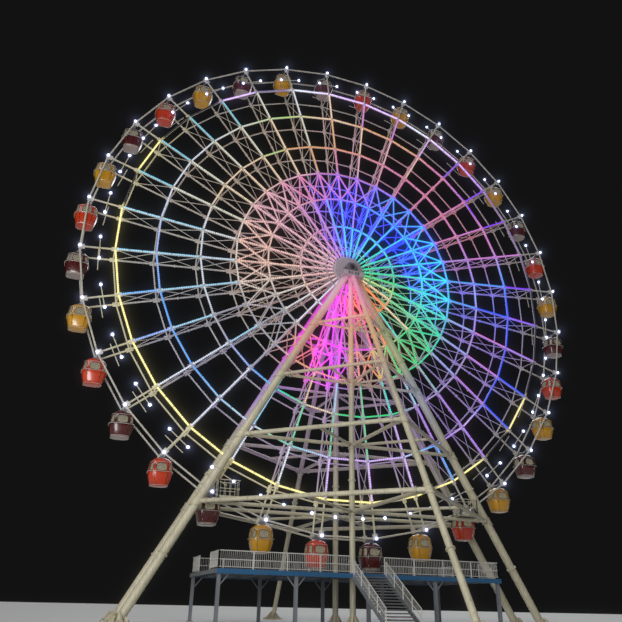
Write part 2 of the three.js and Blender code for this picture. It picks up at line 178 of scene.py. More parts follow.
def add_sun(name, strength, spread, tilt, turn, colour):
    data = bpy.data.lights.new(name, "SUN")
    data.energy = strength
    data.angle = math.radians(spread)
    data.color = colour
    sun = bpy.data.objects.new(name, data)
    sun.rotation_euler = (math.radians(tilt), 0, math.radians(turn))
    bpy.context.scene.collection.objects.link(sun)


def add_soft_box(name, watts, side, place, target, left_out):
    data = bpy.data.lights.new(name, "AREA")
    data.energy = watts
    data.size = side
    box = bpy.data.objects.new(name, data)
    box.location = place
    box.rotation_euler = (Vector(target) - Vector(place)).to_track_quat("-Z", "Y").to_euler()
    bpy.context.scene.collection.objects.link(box)
    unlit = bpy.data.collections.new("left_out_of_" + name)
    unlit.objects.link(left_out)
    unlit.collection_objects[0].light_linking.link_state = "EXCLUDE"
    box.light_linking.receiver_collection = unlit


floor = add_floor()
world = bpy.data.worlds.new("surround")
world.use_nodes = True
world.node_tree.nodes["Background"].inputs["Color"].default_value = SURROUND
bpy.context.scene.world = world
for name, settings in SUNS.items():
    add_sun(name, *settings)
add_soft_box("front_soft_box", SOFT_BOX_WATTS, SOFT_BOX_SIDE, SOFT_BOX_PLACE, HUB, floor)

# %% [markdown]
# ## How the picture takes the lamps
#
# Small coloured lamps keep their pure colour in a photograph, and their light spills a little over
# what is beside them. The default view transform would turn a strong colour pale, so this scene uses
# the plain one, and a glare node adds the spill. Both only treat the finished picture.

# %% Picture
SPILL = {"Threshold": 0.5, "Smoothness": 0.3, "Strength": 0.75, "Saturation": 1.0, "Size": 0.05}


def spill_light(scene):
    scene.view_settings.view_transform = "Standard"
    scene.use_nodes = True
    tree = scene.node_tree
    tree.nodes.clear()
    layers = tree.nodes.new("CompositorNodeRLayers")
    glare = tree.nodes.new("CompositorNodeGlare")
    output = tree.nodes.new("CompositorNodeComposite")
    glare.glare_type = "BLOOM"
    for name, value in SPILL.items():
        glare.inputs[name].default_value = value
    tree.links.new(layers.outputs["Image"], glare.inputs["Image"])
    tree.links.new(glare.outputs["Image"], output.inputs["Image"])


spill_light(bpy.context.scene)
print("view transform:", bpy.context.scene.view_settings.view_transform)

# %% [markdown]
# ## A shape gathered bar by bar
#
# Nearly everything here is tubes, plates and turned parts. Blender could make each as an object of
# its own, but hundreds of objects are slow and hard to name. So one small class gathers corners and
# faces, and makes them into one mesh at the end. Each form that it adds is closed.

# %% The shape class
SHARP_TURN = math.radians(50)


class Shape:
    """Corners and faces of one piece. finish is the number of a face's material."""

    def __init__(self):
        self.corners = []
        self.faces = []
        self.finishes = []

    def add(self, corners, faces, finish=0):
        first = len(self.corners)
        self.corners.extend(tuple(c) for c in corners)
        self.faces.extend(tuple(first + i for i in face) for face in faces)
        self.finishes.extend([finish] * len(faces))

    def loft(self, loops, finish=0, closed=False, caps=True):
        """Joins loops of as many points each with a skin. closed joins the last loop to the first."""
        count = len(loops[0])
        faces = []
        for row in range(len(loops) if closed else len(loops) - 1):
            here, there = row * count, (row + 1) % len(loops) * count
            for i in range(count):
                j = (i + 1) % count
                faces.append((here + i, here + j, there + j, there + i))
        if caps and not closed:
            faces.append(tuple(range(count))[::-1])
            faces.append(tuple((len(loops) - 1) * count + i for i in range(count)))
        self.add([p for loop in loops for p in loop], faces, finish)

    def tube(self, start, end, radius, sides=10, finish=0):
        start, end = Vector(start), Vector(end)
        across, other = two_across(end - start)
        self.loft([circle(middle, across, other, radius, sides) for middle in (start, end)], finish)

    def upright(self, foot, height, radius, sides=6, finish=0):
        foot = Vector(foot)
        self.tube(foot, foot + Vector((0, 0, height)), radius, sides, finish)

    def turned(self, start, along, profile, sides=24, finish=0):
        """A turned part: profile lists (distance along the axis, radius)."""
        start, along = Vector(start), Vector(along).normalized()
        across, other = two_across(along)
        self.loft([circle(start + along * d, across, other, r, sides) for d, r in profile], finish)

    def box(self, middle, half, axes=None, finish=0):
        """A box from its middle, its three half sizes and, if it is turned, its three axes."""
        x, y, z = axes or (Vector((1, 0, 0)), Vector((0, 1, 0)), Vector((0, 0, 1)))
        middle = Vector(middle)
        corners = [
            middle + x * half[0] * i + y * half[1] * j + z * half[2] * k
            for k in (-1, 1)
            for i, j in CORNERS
        ]
        self.loft([corners[:4], corners[4:]], finish)

    def sweep(self, points, radius, sides=6, finish=0, closed=False):
        """A round bar bent along points."""
        points = [Vector(p) for p in points]
        loops = []
        across = None
        for i, point in enumerate(points):
            if closed:
                along = points[(i + 1) % len(points)] - points[i - 1]
            else:
                along = points[min(i + 1, len(points) - 1)] - points[max(i - 1, 0)]
            along.normalize()
            if across is None:
                across = two_across(along)[0]
            else:
                across = (across - along * across.dot(along)).normalized()
            loops.append(circle(point, across, along.cross(across), radius, sides))
        self.loft(loops, finish, closed)

    def mesh(self, name, materials):
        mesh = bpy.data.meshes.new(name)
        mesh.from_pydata(self.corners, [], self.faces)
        mesh.polygons.foreach_set("material_index", self.finishes)
        for material in materials:
            mesh.materials.append(material)
        return smoothed(mesh)

    def piece(self, name, body, slot, materials, place=(0, 0, 0), replaces=()):
        """Makes the mesh and lets it ride on a body; slot is not used."""
        return add_piece(name, self.mesh(name, materials), body, place, replaces)


def two_across(along):
    """Two directions square to a third and to each other."""
    along = Vector(along).normalized()
    helper = Vector((0, 0, 1)) if abs(along.z) < 0.9 else Vector((1, 0, 0))
    across = helper.cross(along).normalized()
    return across, along.cross(across)


def circle(middle, across, other, radius, sides):
    return [middle + across * (radius * math.cos(angle)) + other * (radius * math.sin(angle))
            for angle in angles(sides)]


def smoothed(mesh):
    """Soft shading all over, but for the edges that turn sharply."""
    mesh.polygons.foreach_set("use_smooth", [True] * len(mesh.polygons))
    mesh.update()
    mesh.set_sharp_from_angle(angle=SHARP_TURN)
    return mesh


def add_piece(name, mesh, body, place=(0, 0, 0), replaces=()):
    piece = bpy.data.objects.new(name, mesh)
    piece.location = place
    bpy.context.scene.collection.objects.link(piece)
    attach(piece, body)
    if replaces:
        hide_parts(*replaces)
    return piece


print("a shape can:", [n for n in vars(Shape) if not n.startswith("_")])

# %% [markdown]
# ## Paint
#
# Outdoor steel is never one colour. Paint fades in broad patches, rain draws dirt down it in streaks,
# and a brush leaves a faint ripple. Each of these is a noise at its own scale, mixed into one
# shader. Object coordinates keep the pattern fixed to the piece while it moves.

# %% Node helpers
def new_material(name):
    material = bpy.data.materials.new(name)
    material.use_nodes = True
    tree = material.node_tree
    return material, tree, tree.nodes["Principled BSDF"]


def set_inputs(tree, node, inputs):
    """Sets a node's inputs to values, or links them to sockets."""
    for key, value in inputs.items():
        if isinstance(value, bpy.types.NodeSocket):
            tree.links.new(value, node.inputs[key])
        else:
            node.inputs[key].default_value = value


def add_node(tree, kind, inputs, **settings):
    made = tree.nodes.new(kind)
    for key, value in settings.items():
        setattr(made, key, value)
    set_inputs(tree, made, inputs)
    return made


def object_coordinates(tree, stretch=(1, 1, 1), shift=(0, 0, 0)):
    source = add_node(tree, "ShaderNodeTexCoord", {}).outputs["Object"]
    inputs = {"Vector": source, "Scale": stretch, "Location": shift}
    return add_node(tree, "ShaderNodeMapping", inputs).outputs["Vector"]


def spread(tree, value, low, high, start=0.0, end=1.0, **settings):
    """A value that runs from start to end, spread over low to high."""
    inputs = {"Value": value, "From Min": start, "From Max": end, "To Min": low, "To Max": high}
    return add_node(tree, "ShaderNodeMapRange", inputs, **settings).outputs["Result"]


def noise(tree, scale, stretch=(1, 1, 1), detail=4.0, low=0.35, high=0.65):
    """A noise whose values between low and high are spread over 0 to 1."""
    inputs = {"Vector": object_coordinates(tree, stretch), "Scale": scale, "Detail": detail}
    return spread(tree, add_node(tree, "ShaderNodeTexNoise", inputs).outputs["Fac"], 0, 1, low, high)


def bumps(tree, height, strength, distance):
    inputs = {"Height": height, "Strength": strength, "Distance": distance}
    return add_node(tree, "ShaderNodeBump", inputs).outputs["Normal"]


def mix_colours(tree, share, first, second, blend="MIX"):
    """The mix node's colour sockets have the numbers 6 and 7, and its colour comes out of number 2."""
    inputs = {0: share, 6: first, 7: second}
    return add_node(tree, "ShaderNodeMix", inputs, data_type="RGBA", blend_type=blend).outputs[2]


def times(tree, value, factor):
    return add_node(tree, "ShaderNodeMath", {0: value, 1: factor}, operation="MULTIPLY").outputs[0]


def shade(colour, factor):
    return (*(c * factor for c in colour[:3]), 1)


print("node helpers ready")


# %% Painted steel
DIRT, RUST = (0.16, 0.13, 0.1, 1), (0.2, 0.1, 0.05, 1)
LEG_COLOUR = (0.63, 0.59, 0.43)


def painted_steel(name, colour, roughness=0.42, dirt=0.55, metallic=0.0, ripple=0.15):
    material, tree, shader = new_material(name)
    faded = mix_colours(tree, noise(tree, 0.9), shade(colour, 1.0), shade(colour, 0.82))
    streaks = noise(tree, 3.0, (6, 6, 0.5), low=0.5, high=0.8)
    streaked = mix_colours(tree, times(tree, streaks, dirt), faded, DIRT)
    specks = noise(tree, 60, detail=2, low=0.62, high=0.72)
    set_inputs(tree, shader, {
        "Base Color": mix_colours(tree, times(tree, specks, dirt * 0.5), streaked, RUST),
        "Roughness": spread(tree, streaks, roughness, min(1, roughness + 0.3)),
        "Normal": bumps(tree, noise(tree, 35, low=0, high=1), ripple, 0.004),
        "Metallic": metallic,
    })
    return material


LATTICE_PAINT = painted_steel("lattice_paint", (0.62, 0.59, 0.53))
LEG_PAINT = painted_steel("leg_paint", LEG_COLOUR, dirt=0.5)
# The same paint as the front legs, kept apart only to take other painted strip light below.
REAR_LEG_PAINT = painted_steel("rear_leg_paint", LEG_COLOUR, dirt=0.5)
HUB_PAINT = painted_steel("hub_paint", (0.56, 0.48, 0.55), roughness=0.45, dirt=0.3)
HOUSING_PAINT = painted_steel("housing_paint", (0.2, 0.16, 0.2), roughness=0.5, dirt=0.3)
# Near black, for lamp bases and the shaft, and as painted shade on the bearing heads' cores.
DARK_PAINT_AND_SHADE = painted_steel("dark_paint_and_shade", (0.035, 0.03, 0.04), roughness=0.5)
DECK_PAINT = painted_steel("deck_paint", (0.2, 0.22, 0.25), roughness=0.5)
RAILING_PAINT = painted_steel("railing_paint", (0.68, 0.68, 0.64), roughness=0.35, dirt=0.35)
BOLT_STEEL = painted_steel("bolt_steel", (0.42, 0.42, 0.44), roughness=0.3, metallic=0.9, dirt=0.3)
print("paints:", [m.name for m in bpy.data.materials])

# %% [markdown]
# ## Light strips
#
# The strips are plastic channels full of small lamps that change colour round the wheel. One
# material per strip would need dozens, so the colour comes from the angle round the hub instead: the
# arctangent of a point's place picks it from a ramp. A wave that runs out from the hub, or round
# it, makes the single lamps glow through the cover.

# %% Colour by the angle round the hub
LAMP_PITCH = real(170)


def angle_round_hub(tree, shift=(0, 0, 0)):
    place = add_node(tree, "ShaderNodeSeparateXYZ", {0: object_coordinates(tree, shift=shift)}).outputs
    return add_node(tree, "ShaderNodeMath", {0: place["Z"], 1: place["X"]}, operation="ARCTAN2").outputs[0]


def distance_from_hub(tree, shift=(0, 0, 0)):
    flat = object_coordinates(tree, (1, 0, 1), shift)
    return add_node(tree, "ShaderNodeVectorMath", {0: flat}, operation="LENGTH").outputs["Value"]


def colour_round_hub(tree, stops, shift=(0, 0, 0)):
    """A colour picked by the angle round the hub, in degrees from +X towards +Z.

    A stop is (degrees, colour) or, where the colour stays the same for a while, (from, to, colour).
    """
    share = spread(tree, angle_round_hub(tree, shift), 0, 1, -math.pi, math.pi)
    ramp = add_node(tree, "ShaderNodeValToRGB", {"Fac": share})
    fill_ramp(ramp.color_ramp, stops)
    return ramp.outputs["Color"]


def fill_ramp(ramp, stops):
    """Puts the stops on the ramp, which runs from -180 to 180 degrees and meets itself there."""
    turned = sorted(((degrees + 180) % 360, colour) for *places, colour in stops for degrees in places)
    first, last = turned[0], turned[-1]
    share = (360 - last[0]) / (360 - last[0] + first[0])
    seam = tuple(a + (b - a) * share for a, b in zip(last[1], first[1]))
    turned = [(0, seam), *[t for t in turned if 0 < t[0] < 360], (360, seam)]
    while len(ramp.elements) < len(turned):
        ramp.elements.new(0.5)
    for element, (degrees, _) in zip(ramp.elements, turned):
        element.position = degrees / 360
    for element, (_, colour) in zip(ramp.elements, turned):
        element.color = (*colour, 1)


def dimmed(tree, colour, share):
    grey = add_node(tree, "ShaderNodeCombineColor", {"Red": share, "Green": share, "Blue": share})
    return mix_colours(tree, 1.0, colour, grey.outputs["Color"], "MULTIPLY")


print("lamps in a strip every", LAMP_PITCH, "m")


# %% Strip material
def lamp_rows(tree, turns):
    """Bright and dim by turns: along the radius, or turns times round the hub."""
    if turns:
        place = times(tree, angle_round_hub(tree), turns)
    else:
        place = times(tree, distance_from_hub(tree), 2 * math.pi / LAMP_PITCH)
    wave = add_node(tree, "ShaderNodeMath", {0: place}, operation="SINE").outputs[0]
    return spread(tree, wave, 0.45, 1.0, -1, 0.4)


def lit_strip(name, stops, strength, radius=None):
    """A strip along the spokes or, with a radius, along a ring."""
    material, tree, shader = new_material(name)
    colour = colour_round_hub(tree, stops)
    rows = lamp_rows(tree, round(2 * math.pi * radius / LAMP_PITCH) if radius else None)
    set_inputs(tree, shader, {
        "Emission Color": dimmed(tree, colour, rows),
        "Base Color": mix_colours(tree, 0.9, colour, (0.02, 0.02, 0.02, 1)),
        "Emission Strength": strength,
        "Roughness": 0.5,
    })
    return material


WHITE, PEARL, CREAM, SHELL = (0.62, 0.68, 0.8), (0.6, 0.64, 0.52), (0.8, 0.6, 0.4), (0.78, 0.48, 0.4)
ICE, SEA, MIST, PALE_LILAC = (0.32, 0.62, 0.82), (0.16, 0.52, 0.66), (0.3, 0.42, 0.88), (0.62, 0.42, 0.9)
DUST, TAN, SALMON, ROSE = (0.74, 0.4, 0.48), (0.75, 0.38, 0.17), (0.85, 0.3, 0.24), (0.72, 0.2, 0.42)
MAUVE, LILAC, MAGENTA, VIOLET = (0.62, 0.2, 0.66), (0.42, 0.2, 0.8), (0.88, 0.05, 0.88), (0.22, 0.04, 0.95)
BLUE, COBALT, SKY, CYAN = (0.005, 0.02, 0.9), (0.03, 0.09, 0.95), (0.08, 0.36, 0.95), (0.05, 0.58, 0.9)
AQUA, TEAL, GREEN, LIME = (0.05, 0.7, 0.64), (0.03, 0.7, 0.4), (0.03, 0.68, 0.22), (0.4, 0.7, 0.2)
MINT, BONE, PINK, DIM_LILAC = (0.15, 0.62, 0.31), (0.66, 0.58, 0.53), (0.9, 0.12, 0.35), (0.16, 0.12, 0.26)
YELLOW, ORANGE, RED, OFF = (0.82, 0.73, 0.27), (0.95, 0.22, 0.05), (0.9, 0.06, 0.05), (0.01, 0.01, 0.012)
PERIWINKLE, HEATHER, PLUM = (0.13, 0.24, 0.85), (0.38, 0.29, 0.6), (0.5, 0.18, 0.42)
MOON, PALE_AQUA, TURQUOISE = (0.33, 0.33, 0.4), (0.29, 0.52, 0.52), (0.04, 0.8, 0.8)

HUB_LIGHT_IN = lit_strip("inner_hub_light", [
    (0, 18, TEAL), (34, 52, AQUA), (66, 96, CYAN), (107, SKY), (113, 120, LILAC), (129, MAUVE),
    (146, 185, DUST), (212, SHELL), (232, WHITE), (246, LILAC), (255, 266, MAGENTA),
    (276, 288, PINK), (297, SALMON), (306, 322, ORANGE), (333, CREAM), (344, LIME), (354, GREEN)],
    1.3)
HUB_LIGHT_OUT = lit_strip("outer_hub_light", [
    (0, TEAL), (16, AQUA), (28, 50, CYAN), (62, 76, SKY), (84, LILAC), (92, 107, SKY),
    (114, 120, LILAC), (129, MAUVE), (142, 160, DUST), (185, SHELL), (205, BONE), (232, WHITE),
    (246, LILAC), (255, 266, MAGENTA), (276, 288, PINK), (298, ORANGE), (304, 312, AQUA),
    (318, 324, CREAM), (331, MINT), (343, TEAL)], 1.3)
STAR_LIGHT = lit_strip("star_light", [
    (0, 12, TURQUOISE), (24, 36, CYAN), (46, 62, SKY), (69, PERIWINKLE), (79, LILAC),
    (90, 101, MAUVE), (110, 124, ROSE), (136, 150, DUST), (164, 186, SHELL), (200, BONE),
    (214, 230, MOON), (239, SALMON), (250, PINK), (258, 268, MAGENTA), (275, SALMON), (283, ORANGE),
    (291, LIME), (300, 316, GREEN), (328, TEAL), (340, AQUA)], 1.15)
RING_E_LIGHT = lit_strip("ring_e_light", [
    (0, 12, TURQUOISE), (24, 38, CYAN), (48, 82, SKY), (90, 101, LILAC), (107, MAUVE), (114, ROSE),
    (130, 152, DUST), (166, 186, SHELL), (200, BONE), (214, 228, MOON), (238, DUST), (247, PINK),
    (257, 284, MAGENTA), (291, TAN), (301, LIME), (310, 320, GREEN), (330, 346, TEAL)], 1.15,
    RING_E)
RING_D_LIGHT = lit_strip("ring_d_light", [
    (0, 10, CYAN), (21, 58, PERIWINKLE), (67, LILAC), (77, 104, PLUM), (114, 128, DUST),
    (142, SHELL), (165, 196, BONE), (206, 230, MOON), (238, DUST), (245, 252, TAN),
    (258, 268, SALMON), (278, LIME), (290, MINT), (304, GREEN), (316, TEAL), (328, AQUA),
    (339, SKY), (349, CYAN)], 1.15, RING_D)
SPOKE_LIGHT_IN = lit_strip("inner_spoke_light", [
    (0, 10, SKY), (20, MAUVE), (34, 66, ROSE), (84, DUST), (96, ROSE), (107, TAN),
    (118, 150, CREAM), (164, PEARL), (180, WHITE), (197, ICE), (208, MOON), (219, ICE), (232, MOON),
    (243, AQUA), (250, TAN), (256, CREAM), (262, 267, ICE), (274, 280, MINT), (287, AQUA),
    (298, ICE), (309, PALE_AQUA), (320, 343, MIST), (352, SKY)], 1.15)
SPOKE_LIGHT_MID = lit_strip("middle_spoke_light", [
    (7, SKY), (16, 28, MAUVE), (50, ROSE), (62, SHELL), (73, DUST), (84, CREAM), (96, TAN),
    (107, PEARL), (118, CREAM), (130, 163, PEARL), (175, 208, ICE), (220, 232, WHITE), (242, ICE),
    (253, 276, MINT), (285, PALE_LILAC), (297, 309, LILAC), (343, MAUVE), (350, 356, COBALT)], 1.2)
SPOKE_LIGHT_OUT = lit_strip("outer_spoke_light", [
    (0, 9, VIOLET), (17, MAUVE), (28, 50, VIOLET), (61, PALE_LILAC), (72, 86, MAUVE), (96, CREAM),
    (107, WHITE), (118, PEARL), (129, 163, SEA), (174, 190, ICE), (200, SKY), (210, MIST),
    (219, 242, WHITE), (253, WHITE), (264, 289, PALE_LILAC), (298, SKY), (309, LILAC),
    (320, 333, COBALT), (343, LILAC)], 1.3)
RING_C_LIGHT = lit_strip("ring_c_light", [
    (0, MIST), (14, LILAC), (26, MAUVE), (40, 70, ROSE), (84, SALMON), (104, 116, TAN), (124, LIME),
    (132, 158, CREAM), (172, 200, WHITE), (214, MOON), (225, MIST), (235, SKY), (245, TEAL),
    (251, MINT), (256, 262, CREAM), (267, 288, GREEN), (297, 335, HEATHER), (344, LILAC)], 1.15,
    RING_C)
RING_B_LIGHT = lit_strip("ring_b_light", [
    (0, COBALT), (10, SKY), (20, 30, MAUVE), (36, VIOLET), (46, MAUVE), (56, ROSE), (66, 84, TAN),
    (92, 101, CREAM), (112, LIME), (127, PEARL), (148, 164, WHITE), (184, MIST), (200, 222, SKY),
    (234, ICE), (242, WHITE), (250, MINT), (257, ICE), (267, 284, PALE_LILAC), (291, ICE),
    (297, SKY), (303, LILAC), (312, PALE_LILAC), (322, 340, COBALT)], 1.2, RING_B)
RING_A_LIGHT = lit_strip("ring_a_light", [
    (7, OFF), (18, 36, DIM_LILAC), (41, LILAC), (56, PALE_LILAC), (66, WHITE), (75, 90, PALE_LILAC),
    (106, WHITE), (109, 118, DIM_LILAC), (120, 129, PALE_LILAC), (131, 151, OFF),
    (152.5, 162.5, YELLOW), (164, 173, OFF), (175, 288, YELLOW), (292, OFF), (294, 307, YELLOW),
    (310, 319, OFF), (321, 330, YELLOW), (333, OFF)], 1.7, RING_A)
print("strip materials:", [m.name for m in bpy.data.materials if m.name.endswith("_light")])

# %% [markdown]
# ## Steel in the light of the strips
#
# The strips crowd together near the hub, and their light colours every tube behind them. Enough rays
# to catch that from thin strips would make a picture slow. So that light is painted on: the paint
# gets a faint glow of its own, and the same colours are mixed into its base colour, in layers: each
# has the colours of the strips nearby, and a range of distances from the hub.
# The rear stand is seen behind the lit spokes, so its glow has other colours than the front one's.

# %% Paint with painted strip light
def glow_layer(tree, stops, rise, fall, shift=(0, 0, 0)):
    """Colours round the hub that come in between two distances and die away between two more."""
    far = distance_from_hub(tree, shift)
    share = 1.0
    for reach, low, high in ((rise, 0.0, 1.0), (fall, 1.0, 0.0)):
        near = spread(tree, far, low, high, *reals(*reach), interpolation_type="SMOOTHSTEP")
        share = times(tree, near, share)
    return dimmed(tree, colour_round_hub(tree, stops, shift), share)


PAINTED_LIGHT_COVER = 0.7  # how far the painted strip light also takes over from the paint's own colour


# Paints the strips' light onto a paint: its colours glow, and are mixed into the base colour.
def add_glow(material, layers, strength, shift=(0, 0, 0)):
    tree = material.node_tree
    shader = tree.nodes["Principled BSDF"]
    total = (0.0, 0.0, 0.0, 1.0)
    for stops, rise, fall in layers:
        total = mix_colours(tree, 1.0, total, glow_layer(tree, stops, rise, fall, shift), "ADD")
    reach = add_node(tree, "ShaderNodeVectorMath", {0: total}, operation="LENGTH").outputs["Value"]
    cover = add_node(tree, "ShaderNodeMath", {0: reach, 1: PAINTED_LIGHT_COVER}, operation="MULTIPLY", use_clamp=True)
    paint = shader.inputs["Base Color"].links[0].from_socket
    # painted strip light, in the base colour and as emission
    set_inputs(tree, shader, {
        "Base Color": mix_colours(tree, cover.outputs[0], paint, total),
        "Emission Color": total,
        "Emission Strength": strength,
    })


def faint(colour, share):
    return tuple(c * share for c in colour)


# Painted strip light on the wheel's tubes.
add_glow(LATTICE_PAINT, [
    ([(0, faint(GREEN, 0.35)), (25, faint(TEAL, 0.35)), (50, faint(AQUA, 0.3)),
      (66, faint(SKY, 0.5)), (86, COBALT), (100, faint(VIOLET, 0.6)), (120, faint(MAUVE, 0.35)),
      (150, faint(DUST, 0.2)), (190, faint(DUST, 0.15)), (220, faint(SHELL, 0.1)),
      (238, faint(MAUVE, 0.3)), (247, faint(RED, 0.4)), (254, 263, MAGENTA), (274, PINK),
      (290, RED), (310, ORANGE), (324, faint(TAN, 0.4)), (340, faint(GREEN, 0.3))],
     (0, 1300), (3600, 4800)),
    ([(0, faint(TEAL, 0.3)), (14, faint(COBALT, 0.35)), (30, faint(COBALT, 0.6)), (42, 92, BLUE),
      (104, faint(VIOLET, 0.7)), (116, faint(MAUVE, 0.35)), (130, faint(ROSE, 0.25)),
      (150, faint(ROSE, 0.2)), (175, faint(SALMON, 0.15)), (205, faint(TAN, 0.12)),
      (228, faint(WHITE, 0.1)), (240, faint(RED, 0.3)), (249, faint(RED, 0.4)), (255, 262, MAGENTA),
      (268, faint(VIOLET, 0.6)), (276, faint(MAUVE, 0.3)), (292, faint(TAN, 0.3)),
      (314, faint(TAN, 0.2)), (328, faint(GREEN, 0.4)), (345, faint(GREEN, 0.5))],
     (3600, 4800), (9000, 11500)),
    ([(0, faint(COBALT, 0.6)), (10, faint(VIOLET, 0.4)), (24, faint(PINK, 0.25)),
      (62, faint(PINK, 0.22)), (84, faint(ROSE, 0.2)), (107, faint(TAN, 0.12)),
      (150, faint(TAN, 0.1)), (185, faint(WHITE, 0.08)), (225, faint(BLUE, 0.1)),
      (250, faint(LILAC, 0.2)), (285, faint(LILAC, 0.22)), (320, faint(VIOLET, 0.25)),
      (345, faint(VIOLET, 0.35))],
     (9000, 11500), (16500, 20500)),
    ([(338, OFF), (352, faint(COBALT, 0.6)), (10, faint(COBALT, 0.8)), (30, COBALT),
      (40, faint(BLUE, 0.4)), (50, OFF)],
     (6300, 7400), (9900, 10700)),
    ([(134, OFF), (148, faint(YELLOW, 0.2)), (174, 285, faint(YELLOW, 0.25)), (294, OFF)],
     (18300, 19300), (19700, 22600)),
], strength=0.85)
STAND_SHIFT = -HUB  # the stands' coordinates start on the ground, and the wheel's at its hub
# Painted strip light on the front stand.
add_glow(LEG_PAINT, [
    ([(200, faint(LILAC, 0.3)), (232, faint(MAUVE, 0.6)), (242, DUST), (258, 272, ROSE),
      (286, faint(LILAC, 0.6)), (300, faint(ORANGE, 0.5)), (325, faint(TAN, 0.3))],
     (0, 600), (3500, 6500)),
    ([(222, faint(SHELL, 0.3)), (240, faint(SALMON, 0.6)), (256, faint(SALMON, 0.9)),
      (268, faint(TAN, 0.8)), (276, faint(TAN, 0.6)), (286, faint(DUST, 0.3)),
      (296, 306, faint(LIME, 0.4)), (330, OFF)],
     (3500, 6500), (8000, 12500)),
    ([(262, OFF), (285, faint(LILAC, 0.2)), (299, faint(MIST, 0.4)), (312, faint(MIST, 0.3)),
      (330, OFF)],
     (8500, 11500), (12500, 17500)),
], strength=0.3, shift=STAND_SHIFT)
# Painted strip light on the rear stand, which is seen behind the lit spokes.
add_glow(REAR_LEG_PAINT, [
    ([(226, faint(MAUVE, 0.5)), (237, 247, MAGENTA), (262, faint(MAGENTA, 0.6)),
      (272, faint(LILAC, 0.6)), (286, faint(ORANGE, 0.4)), (300, faint(VIOLET, 0.5)), (326, OFF)],
     (0, 600), (7500, 11000)),
    ([(224, OFF), (237, 247, faint(LILAC, 0.8)), (262, 280, faint(LILAC, 0.3)),
      (300, faint(LILAC, 0.4)), (326, OFF)],
     (7500, 11000), (13000, 19000)),
], strength=0.3, shift=STAND_SHIFT)
print("glow on:", LATTICE_PAINT.name, LEG_PAINT.name, REAR_LEG_PAINT.name)


# %% Lamp material
def lit_lamp(name, colour, strength):
    material, tree, shader = new_material(name)
    facets = add_node(tree, "ShaderNodeTexVoronoi", {"Vector": object_coordinates(tree), "Scale": 90.0})
    glow = spread(tree, facets.outputs["Distance"], 1.0, 0.75)
    tint = mix_colours(tree, glow, shade(colour, 0.8), (*colour, 1))
    set_inputs(tree, shader, {
        "Emission Color": tint,
        "Base Color": tint,
        "Emission Strength": strength,
        "Roughness": 0.2,
    })
    return material


LAMP_LIGHT = lit_lamp("lamp_light", (0.5, 0.58, 1.0), 6.0)
print("lamps:", LAMP_LIGHT.name)

# %% [markdown]
# ## The two faces of the wheel
#
# A face is a web of tubes in one slightly dished plane: spokes from the hub plate to the rim, six
# rings of straight tubes between them, and a star of crossed tubes in one bay. Curves with a bevel
# could do this too, but a loop over the spokes gives exact joints and one clean mesh.

# %% Face tubes
RING_TUBE, STAR_TUBE, RIM_TUBE = real(58), real(45), real(65)
HUB_PLATE = real(1350)
COLLAR = CHORD * 1.22


def collar(shape, side, radius, spoke, half=real(170), thickness=COLLAR, sides=12):
    """The bolted sleeve on a spoke where a ring meets it."""
    start, end = (on_face(side, radius + step * half, spoke) for step in (-1, 1))
    shape.tube(start, end, thickness, sides)


def face_tubes(side):
    shape = Shape()
    for spoke in range(SPOKES):
        shape.tube(on_face(side, HUB_PLATE - real(300), spoke), on_face(side, RIM, spoke), CHORD, 12)
        for radius in RINGS:
            shape.tube(on_face(side, radius, spoke), on_face(side, radius, spoke + 1), RING_TUBE, 10)
            collar(shape, side, radius, spoke)
        shape.tube(on_face(side, RIM, spoke), on_face(side, RIM, spoke + 1), RIM_TUBE, 12)
        for inner, outer in ((spoke, spoke + 1), (spoke + 1, spoke)):
            shape.tube(on_face(side, RING_E, inner), on_face(side, RING_D, outer), STAR_TUBE, 8)
    return shape


print("one face has", len(face_tubes(-1).faces), "faces")

# %% [markdown]
# ## Plates and flanges
#
# Tubes of this length are shipped in parts and bolted together, so each spoke carries pairs of
# flanges, and each crossing has a flat gusset plate. They are small, yet they give the eye a scale.

# %% Gussets and flanges
SPLICES = reals(8600, 14600)
GUSSETS = reals(230, 300, 300, 270, 270, 270)  # half lengths, from the innermost ring outwards


def add_plates(shape, side):
    for spoke in range(SPOKES):
        outwards = on_wheel(1, spoke)
        axes = (outwards, ALONG_SHAFT.cross(outwards), ALONG_SHAFT)
        for radius, size in zip(RINGS, GUSSETS):
            shape.box(on_face(side, radius, spoke, -real(10)), (size, size * 0.62, real(14)), axes)
        for radius in SPLICES:
            for step in (-1, 1):
                start = on_face(side, radius + step * real(8), spoke)
                shape.tube(start, start + outwards * step * real(30), CHORD * 1.75, 14)
        shape.box(on_face(side, RIM - real(120), spoke), reals(230, 190, 30), axes)


def face_piece(name, side, node):
    shape = face_tubes(side)
    add_plates(shape, side)
    shape.turned((0, side * real(1030), 0), (0, side, 0), [
        (0, real(260)), (0, HUB_PLATE), (real(140), HUB_PLATE), (real(160), real(1330)),
        (real(160), real(1050)), (real(185), real(1030)), (real(185), real(640)),
        (real(215), real(620)), (real(215), real(260))], 64, finish=1)
    return shape.piece(name, "wheel", "lattice_paint", [LATTICE_PAINT, HUB_PAINT], HUB, [node])


for name, side, node in (("front_face", -1, "front_lattice"), ("rear_face", 1, "rear_lattice")):
    print(name, "polygons:", len(face_piece(name, side, node).data.polygons))

# %% [markdown]
# ## Bracing between the faces
#
# Seen from the side, each spoke is a tall narrow truss: a cross tie at each ring, and two crossed
# diagonals in each bay. Thinner tubes are enough, as they only keep the two faces apart. None
# stands outside the outermost ring, where the cabins swing through.

# %% Spoke trusses
TIE, BRACE = real(38), real(30)


